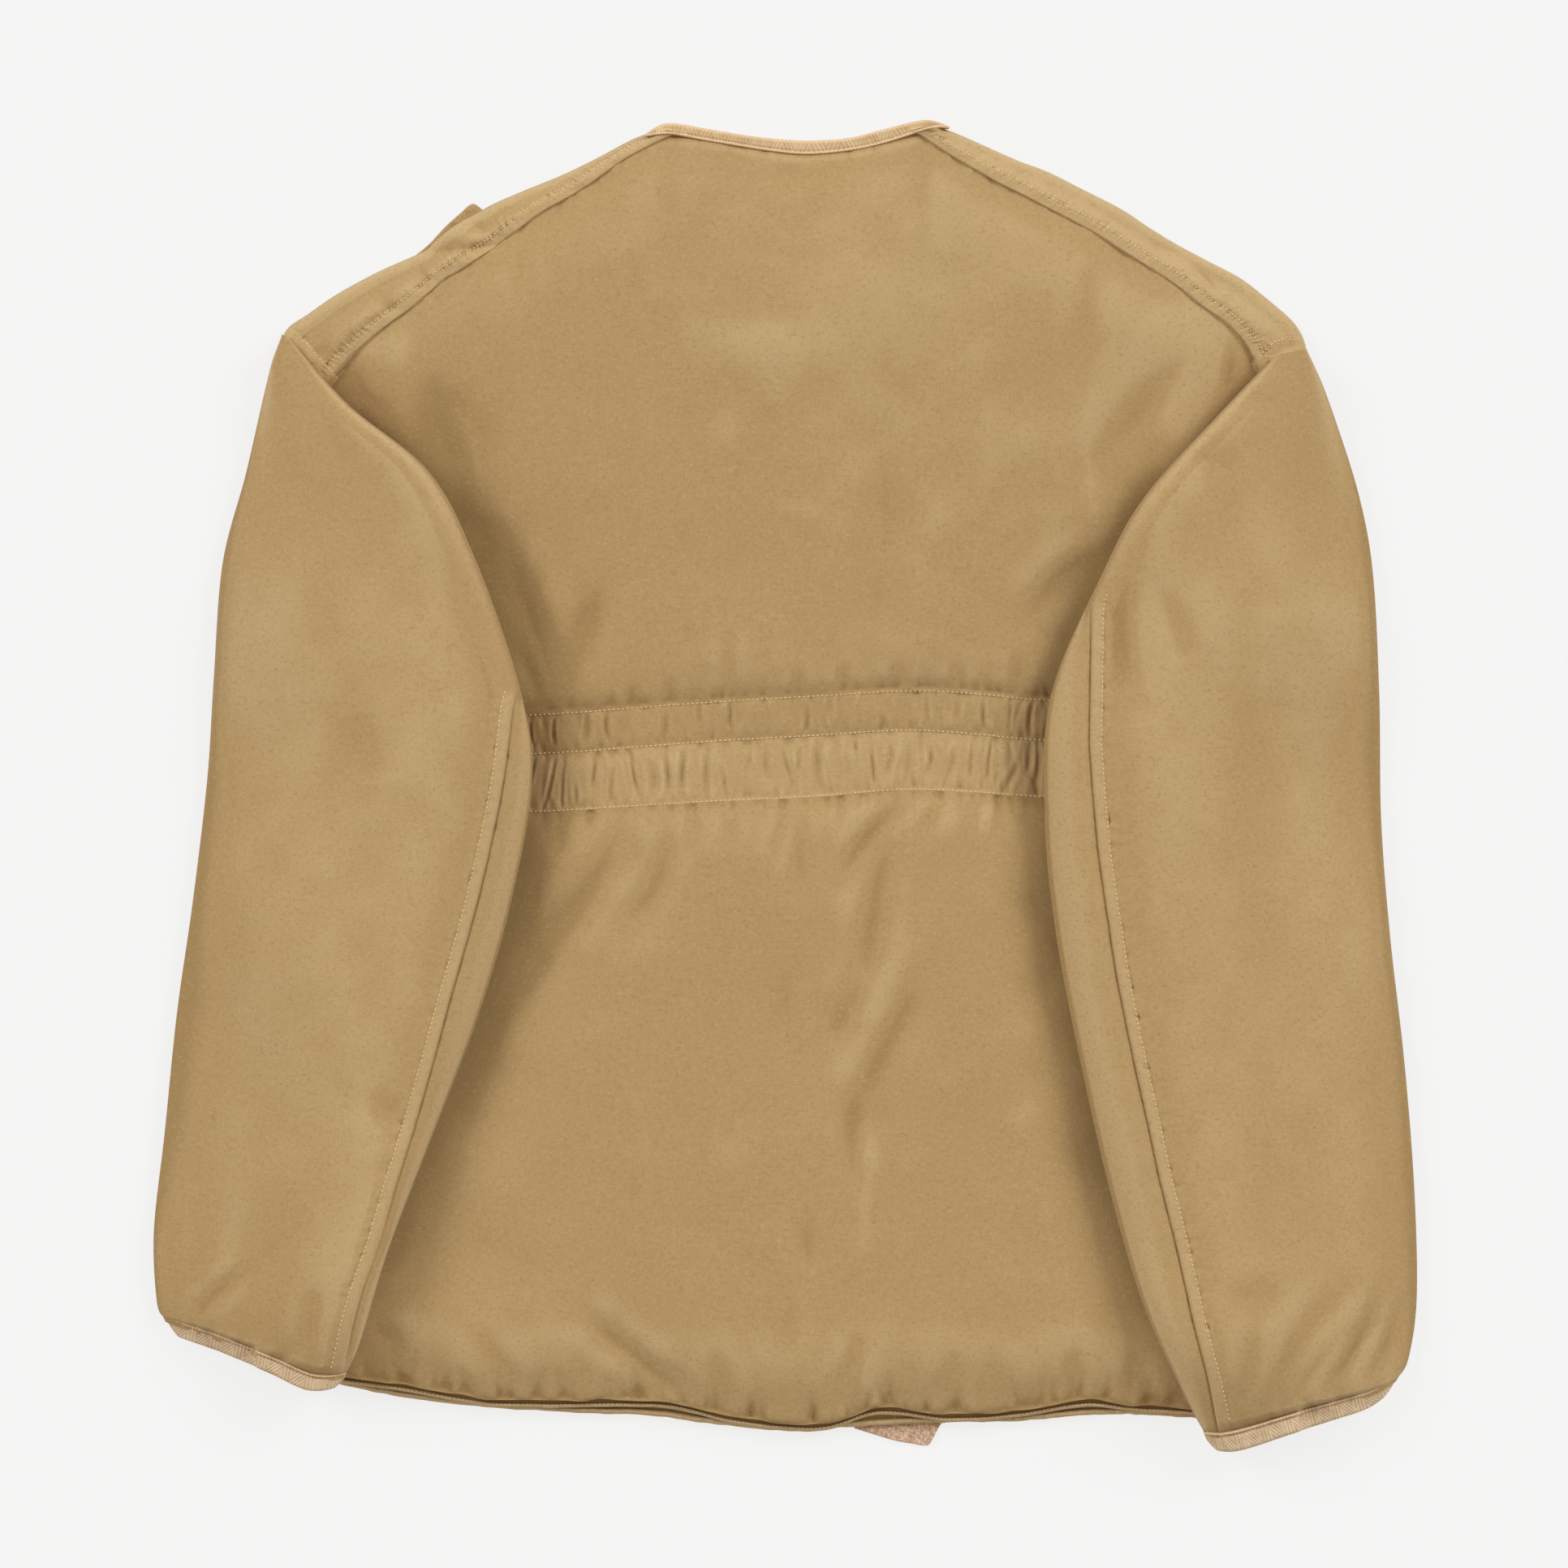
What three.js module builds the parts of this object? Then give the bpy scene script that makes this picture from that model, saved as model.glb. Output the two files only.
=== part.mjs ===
// A lightly filled down jacket with a bound neck and no collar.
// It lies on its front, and both sleeves are folded down over the back.
// Millimetres: +X to the right sleeve as seen from above, +Y to the neck, +Z up from the table.
import * as THREE from 'three';

const { clamp, lerp, smoothstep } = THREE.MathUtils;

// ---- driving dimensions ----
const SEAM_GAP = 0.3;          // between two pieces that are sewn together
const EDGE = 4;                // a filled panel at its seam or rim
const WAIST_EDGE = 8;          // the same at the rows of stitches round the waist
const FRONT_LOFT = 10;         // a front panel at its thickest
const BACK_LOFT = 12;          // a back panel at its thickest
const SLEEVE_LOFT = 23;        // both walls of a sleeve, lying on each other
const CUFF_LOFT = 12;          // both walls at the cuff
const SLIT = 3;                // open space between the walls of a sleeve
const BODY_ROUND = 50;         // a panel rises to its full loft over this width
const SEAM_ROUND = 22;         // the same beside a seam that crosses the back
const HEM_ROUND = 14;          // the same beside the hem, where the panel bulges over its band
const BAND = 4;                // depth and thickness of a hem band
const TAPE = 3;                // thickness of a folded tape
const FACET_CLEARANCE = 0.8;   // added where two curved faces lie on each other
const FLOOR_LIP = 3.4;         // a turned shoulder reaches the table over this width
const FRONT_INSET = 8;         // a front ends this far inside the turned shoulder
const HEM_COLUMNS = 32;        // points along the back hem, of the panel and its band
const FRONT_COLUMNS = 18;      // points along a front hem, of the panel and its band

const COLOUR = { shell: 0xb89966, casing: 0xc4a674, tape: 0xc7a585, cuffTape: 0xcdb59c };

// ---- lines of the cut: tables of [x, y] in rising x ----
const NECK_SEAM = [[-64.5, 362.8], [-44, 360.5], [-9, 355], [12, 353], [37, 355], [56, 359], [76.5, 363.5]];
const WAIST_TOP = [[-275, 35], [-142, 39], [-44, 46], [15, 49.5], [80, 52.5], [146, 47.5], [281, 40.5]];
const WAIST_MIDDLE = [[-271, 12.5], [-137, 16.5], [-38, 23.5], [15, 26.5], [74, 29.5], [146, 24], [278, 18]];
const WAIST_BOTTOM = [[-273, -19.5], [-142, -16], [-38, -10], [15, -7.5], [74, -3.5], [144, -7.5], [281, -14]];
const BACK_HEM = [
  [-291, -318], [-264, -329], [-217, -336], [-168, -344.5], [-139, -345.5], [-65, -346], [-30, -354.5],
  [8, -358.5], [25, -358], [53, -349.5], [92, -353.5], [128, -351.5], [170, -345], [192, -347.5],
  [246, -349.5], [292, -342.5], [305, -335],
];
const FRONT_HEM = [
  [-292, -323], [-246, -336], [-204, -344], [-163, -348.5], [-109, -351.5], [-73, -353], [-45, -357],
  [0, -361.5], [20, -361.5], [33, -359.5], [87, -357], [128, -356], [165, -353], [192, -352],
  [208, -353], [246, -354], [292, -347], [306, -340],
];
const FRONT_NECK = [[-73, 360], [-60, 330], [-39, 300], [0, 283], [42, 300], [66, 330], [84, 362]];
const PLACKET = [[-362, 66], [-330, 54], [-151, 29], [76, 13], [283, 8]];   // [y, x]

// ---- side edges: tables of [y, x] in rising y, from the hem to the armhole ----
const LEFT_SIDE = [
  [-361, -292], [-287, -292], [-151, -285], [-60, -279], [-19, -272], [12, -270], [35, -274],
  [90, -279], [144, -248], [176, -242], [228.5, -252.5],
];
const RIGHT_SIDE = [
  [-361, 306], [-287, 306], [-151, 296], [-60, 287], [-14, 280], [18, 277], [40, 280],
  [94, 289], [148, 267], [185, 260], [235, 265],
];

// ---- shoulders: [seam x, seam y, fold x, fold y] from the neck to the armhole ----
const LEFT_SHOULDER = [
  [-64.5, 362.8, -76, 365], [-80, 355, -87, 359.5], [-95, 346, -105, 350], [-114, 332.5, -123, 341],
  [-135, 320.5, -143.5, 332.5], [-152, 308, -161, 325], [-161.5, 300.5, -171, 320.5],
  [-173, 293, -186, 315.5], [-184.5, 285.5, -196, 306], [-190.5, 282, -202, 297.5],
  [-207.5, 267.5, -225.5, 287], [-225, 254.5, -248, 275], [-240, 241.5, -265, 263.5],
  [-252.5, 228.5, -279, 252.5],
];
const RIGHT_SHOULDER = [
  [76.5, 363.5, 90.5, 367], [93.5, 352, 108, 359], [117.5, 338, 130, 349], [134, 329.5, 147, 342.5],
  [151, 320.5, 165, 333.5], [174.5, 308, 187.5, 322], [190, 298, 203.5, 311.5], [206, 288, 219, 302],
  [219, 279.5, 237, 292.5], [231.5, 269.5, 255, 283], [247.5, 258, 270.5, 271], [258, 247.5, 285, 258],
  [265, 235, 291.5, 245],
];

// ---- neck tape: [inner x, inner y, outer x, outer y] ----
const NECK_TAPE = [
  [-73, 366.2, -75, 367.8], [-63.5, 364.6, -65.5, 370.5], [-44, 361, -43, 367.5], [-25.5, 358, -24.5, 364.5],
  [-9, 355.4, -8.5, 362.5], [12.5, 353.4, 12.5, 361], [36.5, 355.4, 36, 362.5], [56, 359.4, 55, 367],
  [75.5, 365.4, 73.5, 371.5], [83.5, 367.4, 82, 372.3], [89.5, 368.8, 88.5, 370.2],
];

// ---- corners that show past the rim: outlines of [x, y] on the table ----
const FRONT_EDGE_TAB = [[47, -359.4], [88, -357.4], [83.5, -366], [79.5, -371], [76, -370.6], [52, -362.6]];
const SHOULDER_CORNER = [[-171.3, 321.3], [-174.5, 325.5], [-177.5, 324], [-190.4, 314.2], [-186, 316.6]];

// ---- sleeves: [outer x, outer y, inner x, inner y] from the shoulder to the cuff ----
const LEFT_SLEEVE = [
  [-281, 251.5, -277.5, 250], [-289.5, 219, -243.5, 212], [-300, 173.5, -198, 174],
  [-313, 123.5, -172.5, 126], [-318, 58, -148, 55.5], [-321.5, 3.5, -140.5, 3.5],
  [-329.5, -64.5, -152, -64.5], [-338.5, -128, -171, -130.5], [-345.5, -196, -198, -201],
  [-351.5, -250.5, -220.5, -259.5], [-350, -290, -236, -310], [-346.5, -299.5, -245, -329.5],
];
const RIGHT_SLEEVE = [
  [292.5, 243.5, 274.5, 239.5], [307.5, 203.5, 242, 205.5], [321, 160, 201, 160],
  [328.5, 117, 177.5, 117], [332, 49, 149, 49.5], [333, -19.5, 145.5, -19.5],
  [338, -85, 152, -85], [346, -155.5, 165, -153], [351.5, -225.5, 181.5, -225.5],
  [353, -287, 200.5, -290.5], [348.5, -322, 224, -342], [343, -333, 235, -362.5],
];
const CUFF = {
  left: { seam: [-345.7, -299.9, -246, -330.3], rim: [-341, -308, -250, -336.2] },
  right: { seam: [342.4, -333.6, 236, -363.5], rim: [338.5, -341.5, 240.5, -371.5] },
};

// ---- largest folds of the back: [x0, y0, x1, y1, x2, y2, half width, depth] ----
const BACK_FOLDS = [
  [-196, 232, -190, 180, -159, 130, 11, 2.6], [-157, 137, -143, 96, -125, 49, 12, 4.2],
  [-103, 112, -115, 76, -121, 58, 10, 2.6], [54, 190, 60, 149, 47, 76, 13, 2.4],
  [231, 248, 206, 214, 169, 178, 11, 2.6], [179, 128, 151, 112, 138, 92, 10, 2.4],
  [-89, -17, -105, -56, -148, -119, 12, 3.4], [-64, -22, -69, -51, -87, -78, 9, 2.4],
  [70, -8, 47, -28, 33, -53, 9, 3.6], [58, -26, 52, -78, 27, -142, 11, 4.2],
  [74, -112, 47, -164, 40, -223, 12, 3.4], [-116, -294, -85, -319, -57, -341, 11, 3.8],
  [10, -17, 10, -40, 10, -62, 8, 2.2], [13, -87, 2, -128, 17, -160, 14, 2.2],
];
const SLEEVE_FOLDS = [
  [192, 117, 186, 90, 190, 49, 12, 3], [210, 110, 219, 90, 224, 69, 10, 2.6],
  [225, 185, 240, 180, 254, 174, 10, 2.4], [-212, -176, -221, -183, -230, -189, 12, 2.6],
  [-240, 40, -236, 20, -232, 0, 16, 2],
];

// ---- gathers of the waist ----
const CASING = { gathers: 62, loft: 9, depth: 4.2 };
const CHANNEL = { gathers: 42, loft: 8, depth: 2.6 };

// ---- small helpers ----
const dome = (distance, reach) => 1 - (1 - clamp(distance / reach, 0, 1)) ** 2;
const steps = (from, to, count) => Array.from({ length: count }, (_, i) => lerp(from, to, i / (count - 1)));
const mix = (a, b, share) => a.map((value, i) => lerp(value, b[i], share));
const hemColumns = steps(0, 1, HEM_COLUMNS);
const frontColumns = [0, 0.04, ...steps(0.1, 1, FRONT_COLUMNS - 2)];

// A smooth function through a table of [at, value] rows in rising order.
function line(rows) {
  const slope = (i) => {
    const before = rows[Math.max(i - 1, 0)];
    const after = rows[Math.min(i + 1, rows.length - 1)];
    return (after[1] - before[1]) / (after[0] - before[0]);
  };
  return (where) => {
    const at = clamp(where, rows[0][0], rows.at(-1)[0]);
    const next = Math.max(1, rows.findIndex((row) => row[0] >= at));
    const [x0, y0] = rows[next - 1];
    const [x1, y1] = rows[next];
    const t = (at - x0) / (x1 - x0);
    const pull = (x1 - x0) * t * (1 - t);
    return lerp(y0, y1, t * t * (3 - 2 * t)) + pull * (slope(next - 1) * (1 - t) - slope(next) * t);
  };
}

// A smooth row between the rows of a table, at a share of its length.
function rowAt(table, share) {
  const place = share * (table.length - 1);
  const i = Math.min(Math.floor(place), table.length - 2);
  const row = (k) => table[clamp(k, 0, table.length - 1)];
  const t = place - i;
  return table[0].map((_, column) => {
    const [a, b, c, d] = [row(i - 1), row(i), row(i + 1), row(i + 2)].map((r) => r[column]);
    return b + 0.5 * t * (c - a + t * (2 * a - 5 * b + 4 * c - d + t * (3 * (b - c) + d - a)));
  });
}

// Distance from the rim of a closed outline, positive inside it.
function depthInside(outline) {
  const rim = outline.map(([x, y]) => new THREE.Vector3(x, y, 0));
  const edges = rim.map((point, i) => new THREE.Line3(point, rim[(i + 1) % rim.length]));
  const near = new THREE.Vector3();
  const here = new THREE.Vector3();
  return (x, y) => {
    here.set(x, y, 0);
    let inside = false;
    let best = Infinity;
    for (const { start, end } of edges) {
      const crosses = (start.y > y) !== (end.y > y);
      if (crosses && x < start.x + (y - start.y) * (end.x - start.x) / (end.y - start.y)) inside = !inside;
    }
    for (const edge of edges) best = Math.min(best, edge.closestPointToPoint(here, true, near).distanceTo(here));
    return inside ? best : -best;
  };
}

// How deep a table of folds presses the cloth at a point.
function foldDepth(table) {
  const folds = table.map(([x0, y0, x1, y1, x2, y2, halfWidth, depth]) => ({
    points: new THREE.QuadraticBezierCurve(
      new THREE.Vector2(x0, y0), new THREE.Vector2(x1, y1), new THREE.Vector2(x2, y2)).getPoints(14),
    halfWidth,
    depth,
  }));
  return (x, y) => Math.max(...folds.map(({ points, halfWidth, depth }) => {
    const spread = points.map((p, i) => {
      const alongFade = Math.sin(Math.PI * (i + 1) / (points.length + 1)) ** 0.5;
      return alongFade * Math.exp(-(((p.x - x) ** 2 + (p.y - y) ** 2) / halfWidth ** 2));
    });
    return depth * Math.max(...spread);
  }));
}

// ---- the lie of the cloth ----
const neckSeam = line(NECK_SEAM);
const waistTop = line(WAIST_TOP);
const waistMiddle = line(WAIST_MIDDLE);
const waistBottom = line(WAIST_BOTTOM);
const backHem = line(BACK_HEM);
const frontHem = line(FRONT_HEM);
const leftSide = line(LEFT_SIDE);
const rightSide = line(RIGHT_SIDE);
const placket = line(PLACKET);
const leftShoulder = line(LEFT_SHOULDER.map(([x, y]) => [x, y]).reverse());
const rightShoulder = line(RIGHT_SHOULDER.map(([x, y]) => [x, y]));

const leftEdge = steps(225, -318, 30).map((y) => [leftSide(y), y]);
const rightEdge = steps(-335, 231, 30).map((y) => [rightSide(y), y]);
const bodyOutline = [
  ...LEFT_SHOULDER.map(([, , x, y]) => [x, y]),
  ...leftEdge,
  ...steps(-290, 304, 40).map((x) => [x, backHem(x) - BAND]),
  ...rightEdge,
  ...RIGHT_SHOULDER.map(([, , x, y]) => [x, y]).reverse(),
  ...NECK_TAPE.map(([, , x, y]) => [x, y]).reverse(),
];
// The fronts stop short of the turned shoulders and are scooped out under the back neck.
const inset = ([seamX, seamY, foldX, foldY]) => {
  const width = Math.hypot(foldX - seamX, foldY - seamY);
  return mix([foldX, foldY], [seamX, seamY], FRONT_INSET / width);
};
const frontOutline = [
  ...LEFT_SHOULDER.slice(1).map(inset),
  ...leftEdge,
  ...steps(-291, 305, 40).map((x) => [x, frontHem(x)]),
  ...rightEdge,
  ...RIGHT_SHOULDER.slice(1).map(inset).reverse(),
  ...FRONT_NECK.slice().reverse(),
];
const inBody = depthInside(bodyOutline);
const inFront = depthInside(frontOutline);
const backFold = foldDepth(BACK_FOLDS);
const sleeveFold = foldDepth(SLEEVE_FOLDS);

const frontTop = (x, y) => EDGE + (FRONT_LOFT - EDGE) * dome(inFront(x, y), BODY_ROUND);

// What the back lies on: the fronts, and the table inside their scooped neck.
function support(x, y) {
  const depth = inFront(x, y);
  const clearance = SEAM_GAP + FACET_CLEARANCE * (1 - smoothstep(depth, 0.5 * BODY_ROUND, 1.3 * BODY_ROUND));
  if (depth >= 0) return frontTop(x, y) + clearance;
  return (EDGE + clearance) * (1 - smoothstep(-depth, 8, 36));
}

// The back without its seams and folds.
const backTop = (x, y) => support(x, y) + EDGE + (BACK_LOFT - EDGE) * dome(inBody(x, y), BODY_ROUND);

// A panel of the back, thin at its rim and filled further in.
function filled(x, y, rim, fill) {
  const full = backTop(x, y) - support(x, y);
  const thin = Math.min(rim, full);
  return support(x, y) + thin + fill * (full - thin - backFold(x, y));
}

// What the sleeves lie on: the back, and the table beside it.
function sleeveSupport(x, y) {
  const depth = inBody(x, y);
  const clearance = SEAM_GAP + 1.8 * FACET_CLEARANCE * (1 - smoothstep(depth, BODY_ROUND, 1.4 * BODY_ROUND));
  return (backTop(x, y) + clearance) * (1 - smoothstep(-depth, 4, 28));
}

// ---- solids ----
function solid(name, points, triangles, colour) {
  const spanned = ([a, b, c]) => points[a].dot(points[b].clone().cross(points[c]));
  const volume = triangles.reduce((sum, triangle) => sum + spanned(triangle), 0);
  const facing = volume > 0 ? triangles : triangles.map(([a, b, c]) => [a, c, b]);
  const geometry = new THREE.BufferGeometry().setFromPoints(points);
  geometry.setIndex(facing.flat());
  geometry.computeVertexNormals();
  const material = new THREE.MeshStandardMaterial({ color: colour, roughness: 0.9, metalness: 0 });
  const mesh = new THREE.Mesh(geometry, material);
  mesh.name = name;
  return mesh;
}

// A panel on a grid: place gives [x, y], and under and over give its two faces there.
// A flat underside has points only on its rim.
function panel(name, { columns, rows, place, under, over, colour, flat = false }) {
  const wide = columns.length;
  const high = rows.length;
  const rim = [
    ...columns.map((_, c) => [0, c]), ...rows.slice(1).map((_, r) => [r + 1, wide - 1]),
    ...columns.slice(1).map((_, c) => [high - 1, wide - 2 - c]), ...rows.slice(2).map((_, r) => [high - 2 - r, 0]),
  ];
  const points = [];
  const add = (face, r, c) => {
    const [x, y] = place(columns[c], rows[r]);
    points.push(new THREE.Vector3(x, y, face(x, y, columns[c], rows[r])));
    return points.length - 1;
  };
  const top = rows.map((_, r) => columns.map((__, c) => add(over, r, c)));
  const bottom = rows.map(() => []);
  for (const [r, c] of rim) bottom[r][c] = add(under, r, c);
  const triangles = rim.flatMap(([r, c], i) => {
    const [nextR, nextC] = rim[(i + 1) % rim.length];
    const [a, b] = [bottom[r][c], bottom[nextR][nextC]];
    return [[a, b, top[nextR][nextC]], [a, top[nextR][nextC], top[r][c]]];
  });
  if (flat) {
    const contour = rim.map(([r, c]) => new THREE.Vector2(points[bottom[r][c]].x, points[bottom[r][c]].y));
    const faces = THREE.ShapeUtils.triangulateShape(contour, []);
    const clockwise = THREE.ShapeUtils.isClockWise(contour);
    for (const face of faces) {
      const [a, b, d] = face.map((i) => bottom[rim[i][0]][rim[i][1]]);
      triangles.push(clockwise ? [a, b, d] : [a, d, b]);
    }
  }
  for (let r = 0; r < high - 1; r += 1) {
    for (let c = 0; c < wide - 1; c += 1) {
      const quad = (grid) => [grid[r][c], grid[r][c + 1], grid[r + 1][c + 1], grid[r + 1][c]];
      const [a, b, d, e] = quad(top);
      triangles.push([a, b, d], [a, d, e]);
      if (!flat) {
        for (const [row, column] of [[r, c], [r, c + 1], [r + 1, c + 1], [r + 1, c]]) {
          bottom[row][column] ??= add(under, row, column);
        }
        const [f, g, h, k] = quad(bottom);
        triangles.push([f, h, g], [f, k, h]);
      }
    }
  }
  return solid(name, points, triangles, colour);
}

// A chain of rings, closed by a cap at each end or joined end to end.
function chain(name, rings, { joined, colour }) {
  const size = rings[0].length;
  const points = rings.flat();
  const triangles = [];
  const links = joined ? rings.length : rings.length - 1;
  for (let r = 0; r < links; r += 1) {
    const [here, next] = [r * size, ((r + 1) % rings.length) * size];
    for (let i = 0; i < size; i += 1) {
      const j = (i + 1) % size;
      triangles.push([here + i, here + j, next + j], [here + i, next + j, next + i]);
    }
  }
  if (!joined) {
    for (const [first, turned] of [[0, true], [(rings.length - 1) * size, false]]) {
      const centre = points.length;
      points.push(rings[first / size].reduce((sum, p) => sum.add(p), new THREE.Vector3()).divideScalar(size));
      for (let i = 0; i < size; i += 1) {
        const [a, b] = [first + i, first + (i + 1) % size];
        triangles.push(turned ? [b, a, centre] : [a, b, centre]);
      }
    }
  }
  return solid(name, points, triangles, colour);
}

// ---- body ----
// A point of the back between its sides and two lines that cross it.
function across(upper, lower) {
  return (u, v) => {
    let [x, y] = [0, 0];
    for (let pass = 0; pass < 8; pass += 1) {
      x = lerp(leftSide(y), rightSide(y), u);
      y = lerp(lower(x), upper(x), v);
    }
    return [x, y];
  };
}

function shoulderLine(x) {
  if (x < NECK_SEAM[0][0]) return leftShoulder(x);
  return x > NECK_SEAM.at(-1)[0] ? rightShoulder(x) : neckSeam(x);
}

function backUpper() {
  const [left, right] = [LEFT_SIDE.at(-1)[1], RIGHT_SIDE.at(-1)[1]];
  const corners = [NECK_SEAM[0][0], NECK_SEAM.at(-1)[0]].map((x) => (x - left) / (right - left));
  const upper = (x) => shoulderLine(x) - SEAM_GAP;
  const lower = (x) => waistTop(x) + SEAM_GAP / 2;
  return panel('back_upper', {
    columns: [...steps(0, corners[0], 12), ...steps(corners[0], corners[1], 9).slice(1),
      ...steps(corners[1], 1, 13).slice(1)],
    rows: [0, 0.03, 0.08, ...steps(0.17, 0.85, 8), 0.94, 1],
    place: across(upper, lower),
    under: support,
    over: (x, y, u, v) => {
      const fill = dome(y - lower(x), SEAM_ROUND) * dome(upper(x) - y, SEAM_ROUND);
      return filled(x, y, v < 0.5 ? WAIST_EDGE : EDGE, fill);
    },
    colour: COLOUR.shell,
  });
}

function backLower() {
  const upper = (x) => waistBottom(x) - SEAM_GAP / 2;
  const lower = (x) => backHem(x) + SEAM_GAP / 2;
  return panel('back_lower', {
    columns: hemColumns,
    rows: [0, 0.02, 0.045, ...steps(0.1, 0.92, 11), 0.97, 1],
    place: across(upper, lower),
    under: support,
    over: (x, y, u, v) => {
      const fill = dome(y - lower(x), HEM_ROUND) * dome(upper(x) - y, SEAM_ROUND);
      return filled(x, y, v > 0.5 ? WAIST_EDGE : EDGE, fill);
    },
    colour: COLOUR.shell,
  });
}

// A stitched channel whose cloth is drawn up into uneven gathers.
function gathered(name, upper, lower, { gathers, loft, depth }, colour) {
  const widths = Array.from({ length: gathers }, (_, k) => 1 + 0.3 * Math.sin(k * 2.4) + 0.16 * Math.sin(k * 5.1));
  const total = widths.reduce((sum, width) => sum + width, 0);
  const columns = [0];
  for (const width of widths) {
    const start = columns.at(-1);
    columns.push(start + 0.5 * width / total, start + width / total);
  }
  columns[columns.length - 1] = 1;
  const crest = new Map(columns.map((u, i) => [u, i % 2 ? 0.65 + 0.35 * Math.sin(i * 1.7) : 0]));
  return panel(name, {
    columns,
    rows: [0, 0.28, 0.72, 1],
    place: across((x) => upper(x) - SEAM_GAP / 2, (x) => lower(x) + SEAM_GAP / 2),
    under: support,
    over: (x, y, u, v) => {
      const belly = v === 0 || v === 1 ? 0 : 1;
      const ridge = depth * crest.get(u) * (belly ? 1 : 0.3);
      return Math.min(backTop(x, y), support(x, y) + lerp(WAIST_EDGE - 2, loft - depth, belly) + ridge);
    },
    colour,
  });
}

// A point of the left (-1) or right (1) front between its side and its centre edge.
function acrossFront(side) {
  const outer = side < 0 ? leftSide : rightSide;
  const shoulders = side < 0 ? LEFT_SHOULDER : RIGHT_SHOULDER;
  const top = shoulders.slice(1).map(inset);
  const neck = FRONT_NECK.filter(([x]) => side * (x - PLACKET.at(-1)[1]) > 0);
  const topLine = line([...top, ...neck, [PLACKET.at(-1)[1], 283]].sort((a, b) => a[0] - b[0]));
  const centre = (y) => placket(y) + side * SEAM_GAP / 2;
  const lower = (x) => frontHem(x) + BAND;
  return (u, v) => {
    let [x, y] = [side * 100, 0];
    for (let pass = 0; pass < 12; pass += 1) {
      x = lerp(outer(Math.min(y, 225)), centre(y), u);
      y = lerp(lower(x), topLine(x), v);
    }
    return [x, y];
  };
}

function front(side) {
  return panel(side < 0 ? 'front_left' : 'front_right', {
    columns: frontColumns,
    rows: [0, 0.03, 0.08, ...steps(0.14, 0.92, 16), 0.97, 1],
    flat: true,
    place: acrossFront(side),
    under: () => 0,
    over: frontTop,
    colour: COLOUR.shell,
  });
}

// The front's cloth, turned over the shoulder to its seam on the back.
function shoulder(name, table) {
  const turned = FLOOR_LIP + SEAM_GAP;
  const rows = [
    { lip: 0, share: 0 }, { lip: FLOOR_LIP, share: 0 }, { lip: turned, share: 0 },
    { lip: turned, share: 0.3 }, { lip: turned, share: 0.65 }, { lip: turned, share: 1 },
  ];
  return panel(name, {
    columns: steps(0, 1, 2 * table.length - 1),
    rows,
    place: (u, { lip, share }) => {
      const [seamX, seamY, foldX, foldY] = rowAt(table, u);
      const width = Math.hypot(foldX - seamX, foldY - seamY) - SEAM_GAP / 2;
      const reach = (lip + share * (width - lip)) / (width + SEAM_GAP / 2);
      return mix([foldX, foldY], [seamX, seamY], reach);
    },
    under: (x, y, u, { lip }) => (lip === turned ? support(x, y) : 0),
    over: (x, y, u, { lip, share }) => {
      if (lip === 0) return EDGE + 1;
      const pinch = share === 1 ? 0 : 1;
      return support(x, y) + lerp(EDGE, backTop(x, y) - support(x, y) + 1, pinch * (0.6 + share));
    },
    colour: COLOUR.shell,
  });
}

// ---- bands, tapes and the small corners that show past the rim ----
function hemBand(name, columns, edge, under) {
  return panel(name, {
    columns,
    rows: [0, 0.5, 1],
    place: (u, v) => {
      const [x, y] = edge(u, 0);
      return [x, y - SEAM_GAP - (1 - v) * (BAND - SEAM_GAP)];
    },
    under,
    over: (x, y, u, v) => under(x, y) + (v === 0.5 ? 1 : 0.6) * BAND,
    colour: COLOUR.casing,
  });
}

function neckTape() {
  return panel('neck_tape', {
    columns: steps(0, 1, 21),
    rows: [0, 0.2, 0.8, 1],
    place: (u, v) => {
      const [innerX, innerY, outerX, outerY] = rowAt(NECK_TAPE, u);
      return mix([innerX, innerY], [outerX, outerY], v);
    },
    under: support,
    over: (x, y, u, v) => support(x, y) + (v === 1 ? 0.7 : 1) * TAPE,
    colour: COLOUR.tape,
  });
}

function cuffTape(name, { seam, rim }) {
  const ring = ([outerX, outerY, innerX, innerY], thin) => {
    const count = 16;
    return Array.from({ length: count }, (_, i) => {
      const angle = 2 * Math.PI * i / count;
      const share = 0.5 + (0.5 - 0.025 * thin) * Math.cos(angle);
      const [x, y] = mix([innerX, innerY], [outerX, outerY], share);
      const middle = sleeveSupport(x, y) + CUFF_LOFT / 2 - 0.5;
      const half = CUFF_LOFT / 2 - 0.5 - 0.8 * TAPE * thin;
      return new THREE.Vector3(x, y, middle + half * Math.sign(Math.sin(angle)) * Math.abs(Math.sin(angle)) ** 0.6);
    });
  };
  return chain(name, [ring(seam, 0), ring(rim, 0), ring(rim, 1), ring(seam, 1)],
    { joined: true, colour: COLOUR.cuffTape });
}

function tapeCorner(name, outline) {
  const shape = new THREE.Shape(outline.map(([x, y]) => new THREE.Vector2(x, y)));
  const geometry = new THREE.ExtrudeGeometry(shape, { depth: TAPE, bevelEnabled: false });
  const mesh = new THREE.Mesh(geometry, new THREE.MeshStandardMaterial({ color: COLOUR.tape, roughness: 0.9 }));
  mesh.name = name;
  return mesh;
}

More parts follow.
